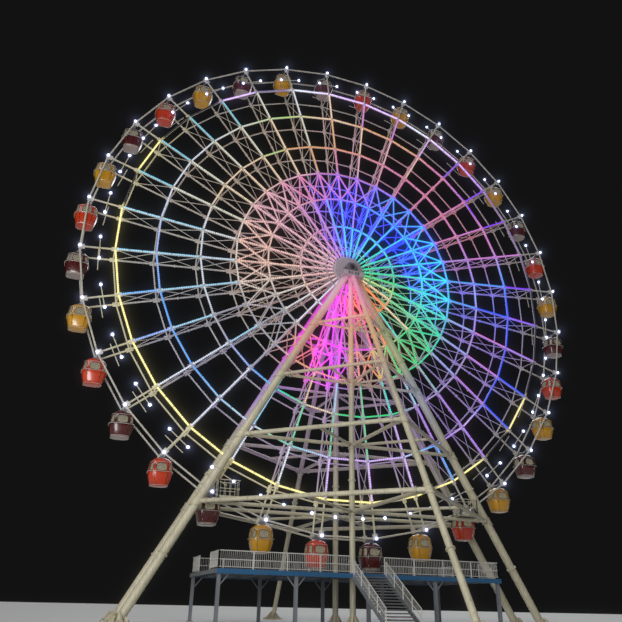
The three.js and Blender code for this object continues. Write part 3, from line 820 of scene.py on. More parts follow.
def truss_piece():
    shape = Shape()
    edges = [real(2100), *RINGS]
    for spoke in range(SPOKES):
        for radius in RINGS:
            shape.tube(on_face(-1, radius, spoke), on_face(1, radius, spoke), TIE, 8)
        for inner, outer in zip(edges, edges[1:]):
            for side in (-1, 1):
                shape.tube(on_face(side, inner, spoke), on_face(-side, outer, spoke), BRACE, 6)
    return shape.piece("spoke_trusses", "wheel", "lattice_paint", [LATTICE_PAINT], HUB)


print("trusses:", len(truss_piece().data.polygons), "polygons")

# %% [markdown]
# ## Light strips on the front
#
# The strips sit on the viewer's side of the front tubes, in modules of about a metre with a small
# gap between them. That is why the lit lines look dashed from afar. Real modules are shallow
# channels, and an eight-sided rod with a flat end is as good at this size.

# %% Strip modules
MODULE = real(1000)
MODULE_GAP = real(60)
STRIP = real(58)
STRIP_LIFT = 0.7  # how far a strip's middle is lifted off a tube, as a share of its radius
CLAMP_RADIUS = real(2110)  # where a clamp ring ties the spokes


def strip_line(shape, start, end, thickness=STRIP, finish=0):
    """A row of modules from one point to another, each with a gap after it."""
    start, end = Vector(start), Vector(end)
    count = max(1, round((end - start).length / MODULE))
    gap = MODULE_GAP / (end - start).length / 2
    for i in range(count):
        near = start.lerp(end, i / count + gap)
        far = start.lerp(end, (i + 1) / count - gap)
        shape.tube(near, far, thickness, 8, finish)


def along_ring(shape, radius, tube, thickness=STRIP, finish=0):
    trim = CHORD * 1.4 / (2 * radius * math.sin(math.pi / SPOKES))
    out = tube + thickness * STRIP_LIFT
    for spoke in range(SPOKES):
        start, end = on_face(-1, radius, spoke, out), on_face(-1, radius, spoke + 1, out)
        strip_line(shape, start.lerp(end, trim), end.lerp(start, trim), thickness, finish)


def along_spokes(shape, inner, outer, finish=0):
    out = COLLAR + STRIP * 0.6
    for spoke in range(SPOKES):
        strip_line(shape, on_face(-1, inner, spoke, out), on_face(-1, outer, spoke, out), STRIP, finish)


print("strip module:", MODULE, "m")

# %% Strips
inner_strips = Shape()
along_spokes(inner_strips, real(1480), CLAMP_RADIUS - real(80))
along_spokes(inner_strips, CLAMP_RADIUS + real(80), RING_F - real(60))
along_ring(inner_strips, RING_F, RING_TUBE)
along_spokes(inner_strips, RING_F + real(60), RING_E - real(60), 1)
along_spokes(inner_strips, RING_E + real(60), RING_D - real(60), 2)
along_ring(inner_strips, RING_E, RING_TUBE, finish=3)
along_ring(inner_strips, RING_D, RING_TUBE, finish=4)
for spoke in range(SPOKES):
    out = STAR_TUBE + STRIP * STRIP_LIFT
    for inner, outer in ((spoke, spoke + 1), (spoke + 1, spoke)):
        start, end = on_face(-1, RING_E, inner, out), on_face(-1, RING_D, outer, out)
        strip_line(inner_strips, start.lerp(end, 0.06), start.lerp(end, 0.94), STRIP * 0.9, 2)
inner_strips.piece("inner_light_strips", "wheel", "light_strip",
                   [HUB_LIGHT_IN, HUB_LIGHT_OUT, STAR_LIGHT, RING_E_LIGHT, RING_D_LIGHT], HUB)

outer_strips = Shape()
for band, (inner, outer) in enumerate(((RING_D, RING_C), (RING_C, RING_B), (RING_B, RING_A))):
    along_spokes(outer_strips, inner + real(90), outer - real(90), band)
along_ring(outer_strips, RING_C, RING_TUBE, finish=3)
along_ring(outer_strips, RING_B, RING_TUBE, finish=4)
along_ring(outer_strips, RING_A, RING_TUBE, real(66), finish=5)
outer_strips.piece("outer_light_strips", "wheel", "light_strip", [
    SPOKE_LIGHT_IN, SPOKE_LIGHT_MID, SPOKE_LIGHT_OUT, RING_C_LIGHT, RING_B_LIGHT, RING_A_LIGHT], HUB)
print("strips:", len(inner_strips.faces) + len(outer_strips.faces), "faces")

# %% [markdown]
# ## Rim fittings and lamps
#
# Beyond the outermost ring the tubes are plain. Each spoke carries a short cross arm with a lamp at
# either end, a matching arm at the back, and one more lamp on the boss that holds a cabin's pin.

# %% Cross arms and bosses
ARM_RADIUS = real(20570)
ARM_HALF = real(920)
LAMP = real(105)
BOSS, BOSS_NUT = real_pairs((0, 130), (180, 130), (200, 105)), real_pairs((0, 70), (30, 70))


def lamp(shape, place, out, glass=1):
    """A domed lamp on a short dark base, facing out along a direction."""
    base = [(-real(60), LAMP * 0.55), (0, LAMP * 0.75), (real(30), LAMP * 0.75)]
    dome = [(real(30) + LAMP * math.sin(t), LAMP * math.cos(t)) for t in np.linspace(0, 1.45, 6)]
    shape.turned(place, out, base, 12, 0)
    shape.turned(place, out, dome, 12, glass)


rim_steel, rim_lamps = Shape(), Shape()
for spoke in range(SPOKES):
    sideways = ALONG_SHAFT.cross(on_wheel(1, spoke))
    for side in (-1, 1):
        middle = on_face(side, ARM_RADIUS, spoke, CHORD + real(30))
        rim_steel.tube(middle - sideways * ARM_HALF, middle + sideways * ARM_HALF, real(35), 8)
        rim_steel.tube(middle, on_face(side, ARM_RADIUS, spoke), real(70), 8)
        boss = on_wheel(RIM, spoke, side * (FACE_AT_RIM - real(69)))
        rim_steel.turned(boss, (0, side, 0), BOSS, 16)
        rim_steel.turned(boss + ALONG_SHAFT * side * real(200), (0, side, 0), BOSS_NUT, 6)
        if side == -1:
            for step in (-1, 1):
                lamp(rim_lamps, middle + sideways * ARM_HALF * step, (0, -1, 0))
    lamp(rim_lamps, on_wheel(RIM, spoke, -FACE_AT_RIM - real(190)), (0, -1, 0))
rim_steel.piece("rim_fittings", "wheel", "lattice_paint", [LATTICE_PAINT], HUB)
rim_lamps.piece("rim_lamps", "wheel", "point_lamp", [DARK_PAINT_AND_SHADE, LAMP_LIGHT], HUB)
print("lamps on the rim:", 3 * SPOKES)

# %% [markdown]
# ## Hub
#
# The hub is a drum between two thick plates, with the shaft through it. Radial ribs stiffen the drum,
# a clamp ring ties the spokes a little outside the plates, and a ring of bolts holds each
# plate. The drum and shaft are turned parts, so a profile spun round the shaft gives them.

# %% Hub drum
DRUM = real_pairs((0, 1050), (60, 1050), (110, 980), (1948, 980), (1998, 1050), (2058, 1050))
SHAFT = real_pairs((0, 225), (25, 249), (3975, 249), (4000, 225))
BOLT_CIRCLE = real(1190)


def hub_piece():
    shape = Shape()
    shape.turned((0, -real(1029), 0), ALONG_SHAFT, DRUM, 48)
    shape.turned((0, -real(2000), 0), ALONG_SHAFT, SHAFT, 36, 2)
    for angle in angles(16):
        outwards = Vector((math.cos(angle), 0, math.sin(angle)))
        axes = (outwards, ALONG_SHAFT, outwards.cross(ALONG_SHAFT))
        shape.box(outwards * real(1010), reals(60, 960, 16), axes)
    for side in (-1, 1):
        for angle in angles(32):
            x, z = BOLT_CIRCLE * math.cos(angle), BOLT_CIRCLE * math.sin(angle)
            place = Vector((x, side * real(1188), z))
            shape.tube(place, place + ALONG_SHAFT * side * real(24), real(26), 6, 1)
    paints = [HUB_PAINT, BOLT_STEEL, DARK_PAINT_AND_SHADE]
    return shape.piece("hub_drum", "wheel", "hub_paint", paints, HUB, ["hub_shaft"])


def clamp_ring_piece():
    shape = Shape()
    for side in (-1, 1):
        ring = [on_face(side, CLAMP_RADIUS, i / 2) for i in range(2 * SPOKES)]
        shape.sweep(ring, real(36), 8, closed=True)
        for spoke in range(SPOKES):
            collar(shape, side, CLAMP_RADIUS, spoke, real(60), CHORD * 1.3, 10)
    return shape.piece("hub_clamp_rings", "wheel", "lattice_paint", [LATTICE_PAINT], HUB)


print("hub:", len(hub_piece().data.polygons), "clamp rings:", len(clamp_ring_piece().data.polygons))

# %% [markdown]
# ## Cabins
#
# A cabin is a moulded shell: a domed roof that is narrow at the pin, a broad waist under the windows,
# and a base that draws in again. Its plan is a rounded rectangle. Instead of sculpting it, the
# shell is a grid of such plans at a few heights, with the window faces left out. Subdivision then
# rounds the shell and the window corners together, and a solidify gives the wall its thickness.

# %% Cabin plan and heights
CABIN_LEVELS = [  # height under the pin, half width, half depth
    (-2185, 470, 425), (-2150, 590, 530), (-2020, 660, 590), (-1750, 745, 660), (-1500, 815, 715),
    (-1300, 850, 742), (-1180, 852, 745), (-900, 822, 728), (-640, 775, 700), (-520, 725, 665),
    (-390, 610, 575), (-280, 440, 420), (-215, 250, 245),
]
SILL_ROW, HEAD_ROW = 6, 8  # rows of CABIN_LEVELS between which the windows are
COLUMNS = 24
SQUARENESS = 3.4  # 2 would be an oval
WALL = real(45)


def plan_point(height, half_width, half_depth, column, shrink=0.0):
    turn = 2 * math.pi * column / COLUMNS
    x, y = (math.copysign(abs(v) ** (2 / SQUARENESS), v) for v in (math.cos(turn), math.sin(turn)))
    return Vector(((real(half_width) - shrink) * x, (real(half_depth) - shrink) * y, real(height)))


def is_window(column, row):
    """Two columns of window, then one of pillar: at the middle of each side and at each corner."""
    return SILL_ROW <= row < HEAD_ROW and (column + 1) % 3 != 2


def window_starts():
    glazed = [is_window(column, SILL_ROW) for column in range(COLUMNS)]
    return [column for column in range(COLUMNS) if glazed[column] and not glazed[column - 1]]


print("windows start at columns", window_starts())

# %% Cabin shell
def applied(mesh, *steps):
    """The mesh after modifiers, each given as (kind, settings)."""
    holder = bpy.data.objects.new("holder", mesh)
    bpy.context.scene.collection.objects.link(holder)
    for kind, settings in steps:
        modifier = holder.modifiers.new(kind, kind)
        for key, value in settings.items():
            setattr(modifier, key, value)
    depsgraph = bpy.context.evaluated_depsgraph_get()
    made = bpy.data.meshes.new_from_object(holder.evaluated_get(depsgraph))
    bpy.data.objects.remove(holder)
    return made


def shell_sheet():
    corners = [plan_point(*level, column) for level in CABIN_LEVELS for column in range(COLUMNS)]
    low = len(corners)
    bottom, top = CABIN_LEVELS[0][0] - 5, CABIN_LEVELS[-1][0] + 20
    corners += [Vector(reals(0, 0, height)) for height in (bottom, top)]
    faces = []
    for column in range(COLUMNS):
        after = (column + 1) % COLUMNS
        for row in range(len(CABIN_LEVELS) - 1):
            here, over = row * COLUMNS, (row + 1) * COLUMNS
            if not is_window(column, row):
                faces.append((here + column, here + after, over + after, over + column))
        last = (len(CABIN_LEVELS) - 1) * COLUMNS
        faces.append((after, column, low))
        faces.append((last + column, last + after, low + 1))
    mesh = bpy.data.meshes.new("shell_sheet")
    mesh.from_pydata([tuple(c) for c in corners], [], faces)
    return mesh


SHELL_SHEET = applied(shell_sheet(), ("SUBSURF", {"levels": 1, "boundary_smooth": "ALL"}))
SHELL_MESH = smoothed(applied(SHELL_SHEET, ("SOLIDIFY", {"thickness": WALL, "offset": -1})))
print("one shell:", len(SHELL_MESH.polygons), "polygons")

# %% [markdown]
# ## Windows, seals and fittings of a cabin
#
# The seals have to follow the rounded openings, which only exist after the subdivision. So their
# paths are read back from the open edges of the finished sheet. The panes lie inside the wall,
# a little larger than the openings, as a real pane does in its seal.

# %% Openings, panes and seals
PANE_STEPS, PANE_ROWS = 6, 4


def open_loops(mesh):
    """The rings of points round the mesh's openings."""
    uses = {}
    for polygon in mesh.polygons:
        for key in polygon.edge_keys:
            uses[key] = uses.get(key, 0) + 1
    beside = {}
    for (a, b), count in uses.items():
        if count == 1:
            beside.setdefault(a, []).append(b)
            beside.setdefault(b, []).append(a)
    loops = []
    while beside:
        start = min(beside)
        loop, here = [start], beside.pop(start)[0]
        while here != start:
            loop.append(here)
            here = next((n for n in beside.pop(here) if n in beside or n == start and len(loop) > 2), start)
        loops.append([mesh.vertices[i].co.copy() for i in loop])
    return loops


def pane_skin(start, shrink):
    """Rows of points over one window and a little beyond its edges."""
    grid = []
    for row in range(PANE_ROWS + 1):
        share = row / PANE_ROWS * 1.06 - 0.03
        level = [a + (b - a) * share for a, b in zip(CABIN_LEVELS[SILL_ROW], CABIN_LEVELS[HEAD_ROW])]
        columns = [start - 0.1 + 2.2 * i / PANE_STEPS for i in range(PANE_STEPS + 1)]
        grid.append([plan_point(*level, column, shrink) for column in columns])
    return grid


def edge_of(grid):
    return grid[0] + [row[-1] for row in grid[1:]] + grid[-1][-2::-1] + [row[0] for row in grid[-2:0:-1]]


def pane_shape():
    """One pane for each window: two curved skins joined at their edges."""
    shape = Shape()
    firsts = [row * (PANE_STEPS + 1) + i for row in range(PANE_ROWS) for i in range(PANE_STEPS)]
    quads = [(a, a + 1, a + PANE_STEPS + 2, a + PANE_STEPS + 1) for a in firsts]
    for start in window_starts():
        outer, inner = (pane_skin(start, WALL * depth) for depth in (0.35, 0.75))
        shape.add([p for row in outer for p in row], quads)
        shape.add([p for row in inner for p in row], [quad[::-1] for quad in quads])
        shape.loft([edge_of(inner), edge_of(outer)], caps=False)
    return shape


OPENINGS = open_loops(SHELL_SHEET)
PANES = pane_shape()
print("openings:", [len(loop) for loop in OPENINGS])

# %% Fittings
PIN_END = FACE_AT_RIM - CHORD - 0.0005  # leaves a running gap at the face
PIN, HANGER_DEPTH = real(60), real(330)


def around_cabin(height, half_width, half_depth, out, columns=48):
    return [plan_point(height, half_width, half_depth, i * COLUMNS / columns, -out) for i in range(columns)]


def fittings_shape():
    """Seals, belt rail, door frame, hanger and seats: finishes 0 seal, 1 trim, 2 steel, 3 seat."""
    shape = Shape()
    for loop in OPENINGS:
        shape.sweep(loop, real(20), 5, 0, closed=True)
    shape.sweep(around_cabin(-1225, 852, 744, real(22)), real(24), 6, 1, closed=True)
    for height, half_width, half_depth in ((-2120, 616, 552), (-560, 744, 678)):
        shape.sweep(around_cabin(height, half_width, half_depth, real(6)), real(16), 5, 1, closed=True)
    add_door(shape)
    add_hanger(shape)
    add_seats(shape)
    return shape


def level_at(height):
    """The shell's half sizes at any height."""
    heights, *halves = zip(*CABIN_LEVELS)
    return height, *(float(np.interp(height, heights, half)) for half in halves)


def add_door(shape):
    """The door's seam on the front, its handle and two hinges."""
    edge = 1.45  # half the door's width, in columns
    heights = [-2050, -1850, -1600, -1350, -1200, -1000, -800, -600, -520]
    middle = COLUMNS * 3 / 4
    up = [plan_point(*level_at(h), middle - edge, -real(3)) for h in heights]
    down = [plan_point(*level_at(h), middle + edge, -real(3)) for h in reversed(heights)]
    shape.sweep(up + down, real(13), 5, 0, closed=True)
    grip = [plan_point(*level_at(h), middle + edge * 0.72, -real(out)) for h, out in
            ((-1500, 0), (-1490, 60), (-1340, 60), (-1330, 0))]
    shape.sweep(grip, real(14), 6, 2)
    for height in (-1900, -1400):
        place = plan_point(*level_at(height), middle - edge * 1.12, -real(12))
        shape.upright(place, real(110), real(20), 8, 2)


def add_hanger(shape):
    shape.tube((0, -PIN_END, 0), (0, PIN_END, 0), PIN, 16, 2)
    plate = real_pairs((-70, 40), (70, 40), (230, -300), (-230, -300))
    for side in (-1, 1):
        shape.tube((0, side * real(250), 0), (0, side * HANGER_DEPTH, 0), PIN * 1.75, 16, 2)
        skins = [[Vector((x, side * y, z)) for x, z in plate] for y in reals(275, 305)]
        shape.loft(skins[::side], 2)
    shape.box((0, 0, -real(235)), reals(250, 340, 22), finish=2)
    for i, j in ((-1, -1), (-1, 1), (1, -1), (1, 1)):
        shape.upright(reals(i * 200, j * 190, -222), real(30), real(26), finish=2)


def add_seats(shape):
    for side in (-1, 1):
        middle = Vector((side * real(400), 0, real(-1720)))
        shape.box(middle, reals(130, 380, 45), finish=3)
        shape.box(middle + Vector(reals(0, 0, -190)), reals(115, 350, 145), finish=1)
        lean = Matrix.Rotation(side * 0.12, 3, "Y")
        axes = tuple(lean @ Vector(a) for a in ((1, 0, 0), (0, 1, 0), (0, 0, 1)))
        shape.box(middle + Vector(reals(side * 150, 0, 270)), reals(30, 380, 230), axes, 3)
    shape.tube((0, 0, real(-2120)), (0, 0, real(-260)), real(25), 8, 2)
    shape.loft([around_cabin(height, 600, 535, -real(70)) for height in (-2125, -2085)], 1)


FITTINGS = fittings_shape()
print("fittings of one cabin:", len(FITTINGS.faces), "faces")

# %% [markdown]
# ## Cabin finishes
#
# Moulded shells are gelcoat: glossy, a little wavy, and faded where the sun falls most. The dark
# cabins have a pale skirt. The glass is slightly milky, and a faint warm glow is painted on it for
# the light of a lamp inside. Each material is shared by all the cabins that wear it.

# %% Cabin materials
def gelcoat(name, colour):
    material, tree, shader = new_material(name)
    patches = mix_colours(tree, noise(tree, 2.5), shade(colour, 1.0), shade(colour, 0.78))
    grime = noise(tree, 5.0, (5, 5, 0.6), low=0.55, high=0.85)
    set_inputs(tree, shader, {
        "Base Color": mix_colours(tree, times(tree, grime, 0.35), patches, (0.12, 0.1, 0.08, 1)),
        "Roughness": spread(tree, grime, 0.22, 0.5),
        "Normal": bumps(tree, noise(tree, 9, low=0, high=1), 0.12, 0.01),
        "Coat Weight": 0.5,
        "Coat Roughness": 0.08,
    })
    return material


def window_glass():
    material, tree, shader = new_material("window_glass")
    smears = noise(tree, 4.0, (1, 1, 3))
    set_inputs(tree, shader, {
        "Base Color": mix_colours(tree, smears, (0.36, 0.34, 0.26, 1), (0.27, 0.27, 0.22, 1)),
        "Roughness": spread(tree, smears, 0.03, 0.1),
        "Alpha": 0.5,
        # painted light: a faint warm glow for a lamp inside the cabin
        "Emission Color": (1.0, 0.84, 0.5, 1),
        "Emission Strength": 0.08,
    })
    return material


def woven_vinyl():
    material, tree, shader = new_material("seat_vinyl")
    inputs = {"Vector": object_coordinates(tree), "Scale": 160.0}
    grain = add_node(tree, "ShaderNodeTexVoronoi", inputs).outputs["Distance"]
    set_inputs(tree, shader, {
        "Base Color": mix_colours(tree, grain, (0.05, 0.05, 0.06, 1), (0.09, 0.09, 0.1, 1)),
        "Normal": bumps(tree, grain, 0.3, 0.001),
        "Roughness": 0.5,
    })
    return material


CABIN_PAINTS = {
    "Y": ("cabin_yellow", gelcoat("yellow_gelcoat", (0.66, 0.33, 0.015))),
    "R": ("cabin_red", gelcoat("red_gelcoat", (0.64, 0.045, 0.006))),
    "D": ("cabin_dark", gelcoat("dark_gelcoat", (0.09, 0.009, 0.009))),
}
GLASS, VINYL = window_glass(), woven_vinyl()
SEAL, TRIM = gelcoat("window_seal", (0.02, 0.02, 0.022)), gelcoat("pale_trim", (0.52, 0.5, 0.45))
SKIRT = gelcoat("pale_skirt", (0.36, 0.28, 0.25))
print("cabin paints:", [paint.name for _, paint in CABIN_PAINTS.values()])

# %% All the cabins
CABIN_COLOURS = "YRDYRDYRDYDYRDYRDYRDRDYRDYRYDYRD"
SKIRT_TOP = real(-1990)
GLASS_MESH = PANES.mesh("cabin_glass", [GLASS])
FITTINGS_MESH = FITTINGS.mesh("cabin_fittings", [SEAL, TRIM, BOLT_STEEL, VINYL])
SHELLS = {}
for letter, (_, paint) in CABIN_PAINTS.items():
    SHELLS[letter] = SHELL_MESH.copy()
    SHELLS[letter].materials.append(paint)
for polygon in SHELLS["D"].polygons:
    polygon.material_index = 1 if polygon.center.z < SKIRT_TOP else 0
SHELLS["D"].materials.append(SKIRT)
for spoke, letter in enumerate(CABIN_COLOURS):
    node = f"cabin_{spoke + 1:02d}"
    place = HUB + on_wheel(RIM, spoke)
    add_piece(node + "_shell", SHELLS[letter], node, place, [node])
    add_piece(node + "_glass", GLASS_MESH, node, place)
    add_piece(node + "_fittings", FITTINGS_MESH, node, place)
print("cabins:", len(CABIN_COLOURS))

# %% [markdown]
# ## Legs
#
# On each side two raking legs, an upright pillar and an outrigger meet under the bearing. They are
# plain thick tubes, cut level where they meet the ground and the head, so the tube's end rings are
# slid along its axis until they lie flat. Flange pairs show where the lengths were bolted together.

# %% Leg tubes
BEARING_OFFSET = real(1600)
LEG_RUN = 0.5677
LEG_KINDS = {  # sideways run, outward run for each unit of drop, radius, foot width
    "left_leg": (-LEG_RUN, 0, real(300), real(1500)),
    "right_leg": (LEG_RUN, 0, real(300), real(1500)),
    "pillar": (0, 0, real(210), real(1100)),
    "outrigger": (0, 0.558, real(200), real(1500)),
}
FRAME_DROPS = {"top": real(5620), "upper": real(10340), "middle": real(15290), "lower": real(20170)}
LEG_TOP_DROP, LEG_SPLICES = real(1000), reals(7900, 17900, 23600)
FOOT = real(80)


def leg_point(kind, side, drop):
    run_x, run_y = LEG_KINDS[kind][:2]
    return Vector((run_x * drop, side * (BEARING_OFFSET + run_y * drop), HUB.z - drop))


def level_tube(shape, start, end, radius, sides=28, finish=0):
    along = (end - start).normalized()
    across, other = two_across(along)
    loops = []
    for middle in (start, end):
        ring = circle(middle, across, other, radius, sides)
        loops.append([p + along * ((middle.z - p.z) / along.z) for p in ring])
    shape.loft(loops, finish)


def leg_shape(kind, side):
    shape = Shape()
    radius = LEG_KINDS[kind][2]
    bottom, top = leg_point(kind, side, HUB.z - FOOT / 2), leg_point(kind, side, LEG_TOP_DROP)
    level_tube(shape, bottom, top, radius)
    along = (bottom - top).normalized()
    for drop in LEG_SPLICES:
        middle = leg_point(kind, side, drop)
        for step in (-1, 1):
            near, far = (middle + along * step * size for size in reals(3, 45))
            shape.tube(near, far, radius + real(75), 28)
    add_foot(shape, kind, side)
    return shape


print("legs on a side:", list(LEG_KINDS))

# %% [markdown]
# ## Feet
#
# A foot is a thick square plate with gussets up the tube and anchor bolts at its edge. The gussets
# are triangles, each lofted from two copies of its outline.

# %% Feet
def add_foot(shape, kind, side):
    radius, width = LEG_KINDS[kind][2:]
    foot = leg_point(kind, side, HUB.z)
    half = width / 2
    shape.box(foot + Vector((0, 0, FOOT / 2)), (half, half, FOOT / 2))
    for angle in angles(8, math.pi / 8):
        out = Vector((math.cos(angle), math.sin(angle), 0))
        across = Vector((-out.y, out.x, 0)) * real(14)
        low = foot + Vector((0, 0, FOOT * 0.9))
        outline = [
            low + out * radius * 0.6,
            low + out * half * 0.96,
            low + out * (half * 0.96) + Vector((0, 0, real(60))),
            low + out * radius * 0.9 + Vector((0, 0, real(620))),
        ]
        shape.loft([[p - across for p in outline], [p + across for p in outline]])
    bolts = [(i, j) for i in (-1, 0, 1) for j in (-1, 0, 1) if i or j]
    for i, j in bolts:
        place = foot + Vector((i * half * 0.84, j * half * 0.84, FOOT * 0.9))
        shape.upright(place, real(70), real(45), 6, 1)
        shape.upright(place, real(130), real(24), 8, 1)


SIDES = (("front", -1, LEG_PAINT), ("rear", 1, REAR_LEG_PAINT))
for word, side, paint in SIDES:
    for kind in LEG_KINDS:
        node = f"{word}_{kind}"
        shape = leg_shape(kind, side)
        shape.piece(node + "_tube", "supports", "leg_paint", [paint, BOLT_STEEL], replaces=[node])

# %% [markdown]
# ## Level frames
#
# At four heights a level frame keeps the four legs of a side from spreading. Its beams run between
# collars on the legs, and two braces from the middle of the outer beams meet the pillar. The higher
# the frame, the shorter its beams, and the thinner they can be.

# %% Frames
FRAME_BEAMS = {"top": real(110), "upper": real(125), "middle": real(150), "lower": real(150)}
INNER_BEAM, FRAME_BRACE = 0.87, 0.7  # shares of the outer beams' radius


def frame_shape(side, drop, beam):
    shape = Shape()
    at = {kind: leg_point(kind, side, drop) for kind in LEG_KINDS}
    left, right, pillar, outrigger = (at[kind] for kind in LEG_KINDS)
    runs = [
        (left, outrigger, 1), (outrigger, right, 1),
        (left, pillar, INNER_BEAM), (pillar, right, INNER_BEAM), (pillar, outrigger, INNER_BEAM),
        ((left + outrigger) / 2, pillar, FRAME_BRACE), ((right + outrigger) / 2, pillar, FRAME_BRACE),
    ]
    for start, end, share in runs:
        shape.tube(start, end, beam * share, 18)
        add_end_plates(shape, start, end, beam * share)
    for kind in LEG_KINDS:
        radius = LEG_KINDS[kind][2]
        high, low = (leg_point(kind, side, drop + step * real(240)) for step in (-1, 1))
        level_tube(shape, low, high, radius + real(45), 28)
        for step in (-1, 1):
            edge = leg_point(kind, side, drop + step * real(225))
            level_tube(shape, edge, leg_point(kind, side, drop + step * real(260)), radius + real(80), 28)
    return shape


def add_end_plates(shape, start, end, radius):
    """A bolted flange pair near each end of a beam."""
    along = (end - start).normalized()
    across, other = two_across(along)
    for point, way in ((start, along), (end, -along)):
        middle = point + way * real(780)
        shape.tube(middle - way * real(28), middle + way * real(28), radius * 1.45, 18)
        for bolt in circle(middle, across, other, radius * 1.24, 8):
            shape.tube(bolt - way * real(60), bolt + way * real(60), real(24), 6, 1)


for word, side, paint in SIDES:
    for level_name, drop in FRAME_DROPS.items():
        node = f"{word}_{level_name}_frame"
        shape = frame_shape(side, drop, FRAME_BEAMS[level_name])
        shape.piece(node + "_beams", "supports", "leg_paint", [paint, BOLT_STEEL], replaces=[node])
print("frames:", 2 * len(FRAME_DROPS))

# %% [markdown]
# ## Bearing heads
#
# The head is a welded box on top of the four tubes, and the bearing housing stands on it. The box
# has ribs, and the housing a split line with clamp bolts and a cover plate. The slots between the
# ribs, dark with painted shade on the near-black core behind them, are what shows of it from the
# ground.

# %% Bearing heads
HEAD_LOW = HUB.z - LEG_TOP_DROP + BOLTED_GAP
HEAD_HALF, HEAD_HEIGHT = real(960), real(420)
HEAD_INNER, HEAD_OUTER, HOUSING_OUTER = real(1290), real(2400), real(1930)
HOUSING = real(480)


def head_shape(side):
    """Two plates, a block at either end, and ribs that leave two slots between them, with painted shade on
    the core behind them.
    """
    shape = Shape()
    middle_y = side * (HEAD_INNER + HEAD_OUTER) / 2
    half_y = (HEAD_OUTER - HEAD_INNER) / 2
    middle = HEAD_LOW + HEAD_HEIGHT / 2
    half_z = HEAD_HEIGHT / 2 - real(40)
    for height in (real(30), HEAD_HEIGHT - real(30)):
        shape.box((0, middle_y, HEAD_LOW + height), (HEAD_HALF, half_y, real(30)), finish=3)
    # Painted shade: the core behind the slots is near black, so the slots look dark.
    shape.box((0, middle_y, middle), (HEAD_HALF * 0.6, half_y * 0.7, half_z), finish=1)
    for step in (-1, 1):
        block = (HEAD_HALF * 0.2, half_y * 0.95, half_z)
        shape.box((step * HEAD_HALF * 0.72, middle_y, middle), block, finish=3)
        for place in (0.2, 0.36):
            rib = (real(20), half_y * 0.97, half_z)
            shape.box((step * HEAD_HALF * place, middle_y, middle), rib, finish=3)
    shape.box((0, middle_y, middle), (real(70), half_y * 0.93, half_z), finish=3)
    add_housing(shape, side)
    return shape


def add_housing(shape, side):
    length = HOUSING_OUTER - HEAD_INNER
    shape.turned((0, side * HEAD_INNER, HUB.z), (0, side, 0), [
        (0, real(270)), (0, HOUSING * 0.92), (real(40), HOUSING), (length - real(40), HOUSING),
        (length, HOUSING * 0.92), (length, real(330)), (length + real(60), real(320)),
        (length + real(60), real(255))], 36)
    web = (HOUSING * 0.9, length / 2 * 0.9, real(230))
    shape.box((0, side * (HEAD_INNER + length / 2), HUB.z - real(385)), web)
    for angle in angles(8, math.pi / 8):
        x, z = real(400) * math.cos(angle), real(400) * math.sin(angle)
        place = Vector((x, side * HOUSING_OUTER, HUB.z + z))
        shape.tube(place, place + ALONG_SHAFT * side * real(36), real(34), 6, 2)
    for step in (-1, 1):
        for y in (0.25, 0.75):
            place = Vector((step * HOUSING * 0.99, side * (HEAD_INNER + length * y), HUB.z))
            shape.box(place, reals(95, 80, 70))
            shape.tube(place - Vector((0, 0, real(130))), place + Vector((0, 0, real(130))), real(34), 6, 2)


for word, side, _ in SIDES:
    node = word + "_bearing"
    paints = [HOUSING_PAINT, DARK_PAINT_AND_SHADE, BOLT_STEEL, HUB_PAINT]
    head_shape(side).piece(node + "_head", "supports", "hub_paint", paints, replaces=[node])
print("bearing heads: 2")

# %% [markdown]
# ## Boarding deck
#
# Riders get on from a steel deck that straddles the lowest cabins. It is a frame of channels on
# square posts, covered with narrow ribbed planks. The planks are laid in a loop, and the ones that
# would run through a pillar stop short on both sides of it. Painted panels close the deck's edge.

# %% Deck sizes and materials
DECK_TOP, DECK_DEEP = real(3200), real(250)
DECK_X, DECK_Y = real(10400), real(4400)
POST = real(220)
PILLAR_Y, PILLAR_RADIUS = BEARING_OFFSET, real(210)
RAIL_FOOT, RAIL_HEIGHT = DECK_TOP + real(4), real(1096)
RAIL_X, RAIL_Y = DECK_X - real(120), DECK_Y - real(120)
STAIR_HALF = real(1200)


def ribbed_planks(name, colour):
    """Worn grey planks, ribbed along their length."""
    material, tree, shader = new_material(name)
    inputs = {"Vector": object_coordinates(tree, (0.01, 1, 0.01)), "Scale": 90.0}
    ribs = add_node(tree, "ShaderNodeTexWave", inputs, bands_direction="Y").outputs["Fac"]
    set_inputs(tree, shader, {
        "Base Color": mix_colours(tree, noise(tree, 1.4), (*colour, 1), shade(colour, 0.6)),
        "Roughness": spread(tree, noise(tree, 3), 0.45, 0.7),
        "Normal": bumps(tree, ribs, 0.5, 0.003),
        "Metallic": 0.35,
    })
    return material


PLANKS = ribbed_planks("deck_planks", (0.25, 0.26, 0.28))
EDGE_PAINT = painted_steel("edge_panel_paint", (0.03, 0.13, 0.28), roughness=0.3, dirt=0.25)
print("deck:", 2 * DECK_X, "by", 2 * DECK_Y, "m, top at", DECK_TOP, "m")

# %% Deck planks and frame
PLANK, PLANK_GAP = real(200), real(12)


def add_planks(shape):
    rows = int(2 * DECK_Y / PLANK)
    for row in range(rows):
        y = -DECK_Y + PLANK * (row + 0.5)
        cuts = [-DECK_X, -DECK_X / 2, DECK_X / 2, DECK_X]
        spans = list(zip(cuts, cuts[1:]))
        if abs(abs(y) - PILLAR_Y) < PILLAR_RADIUS + PLANK / 2:
            clear = real(230)
            spans[1:2] = [(-DECK_X / 2, -clear), (clear, DECK_X / 2)]
        for start, end in spans:
            half = ((end - start - PLANK_GAP) / 2, (PLANK - PLANK_GAP) / 2, real(20))
            shape.box(((start + end) / 2, y, DECK_TOP - real(20)), half, finish=1)


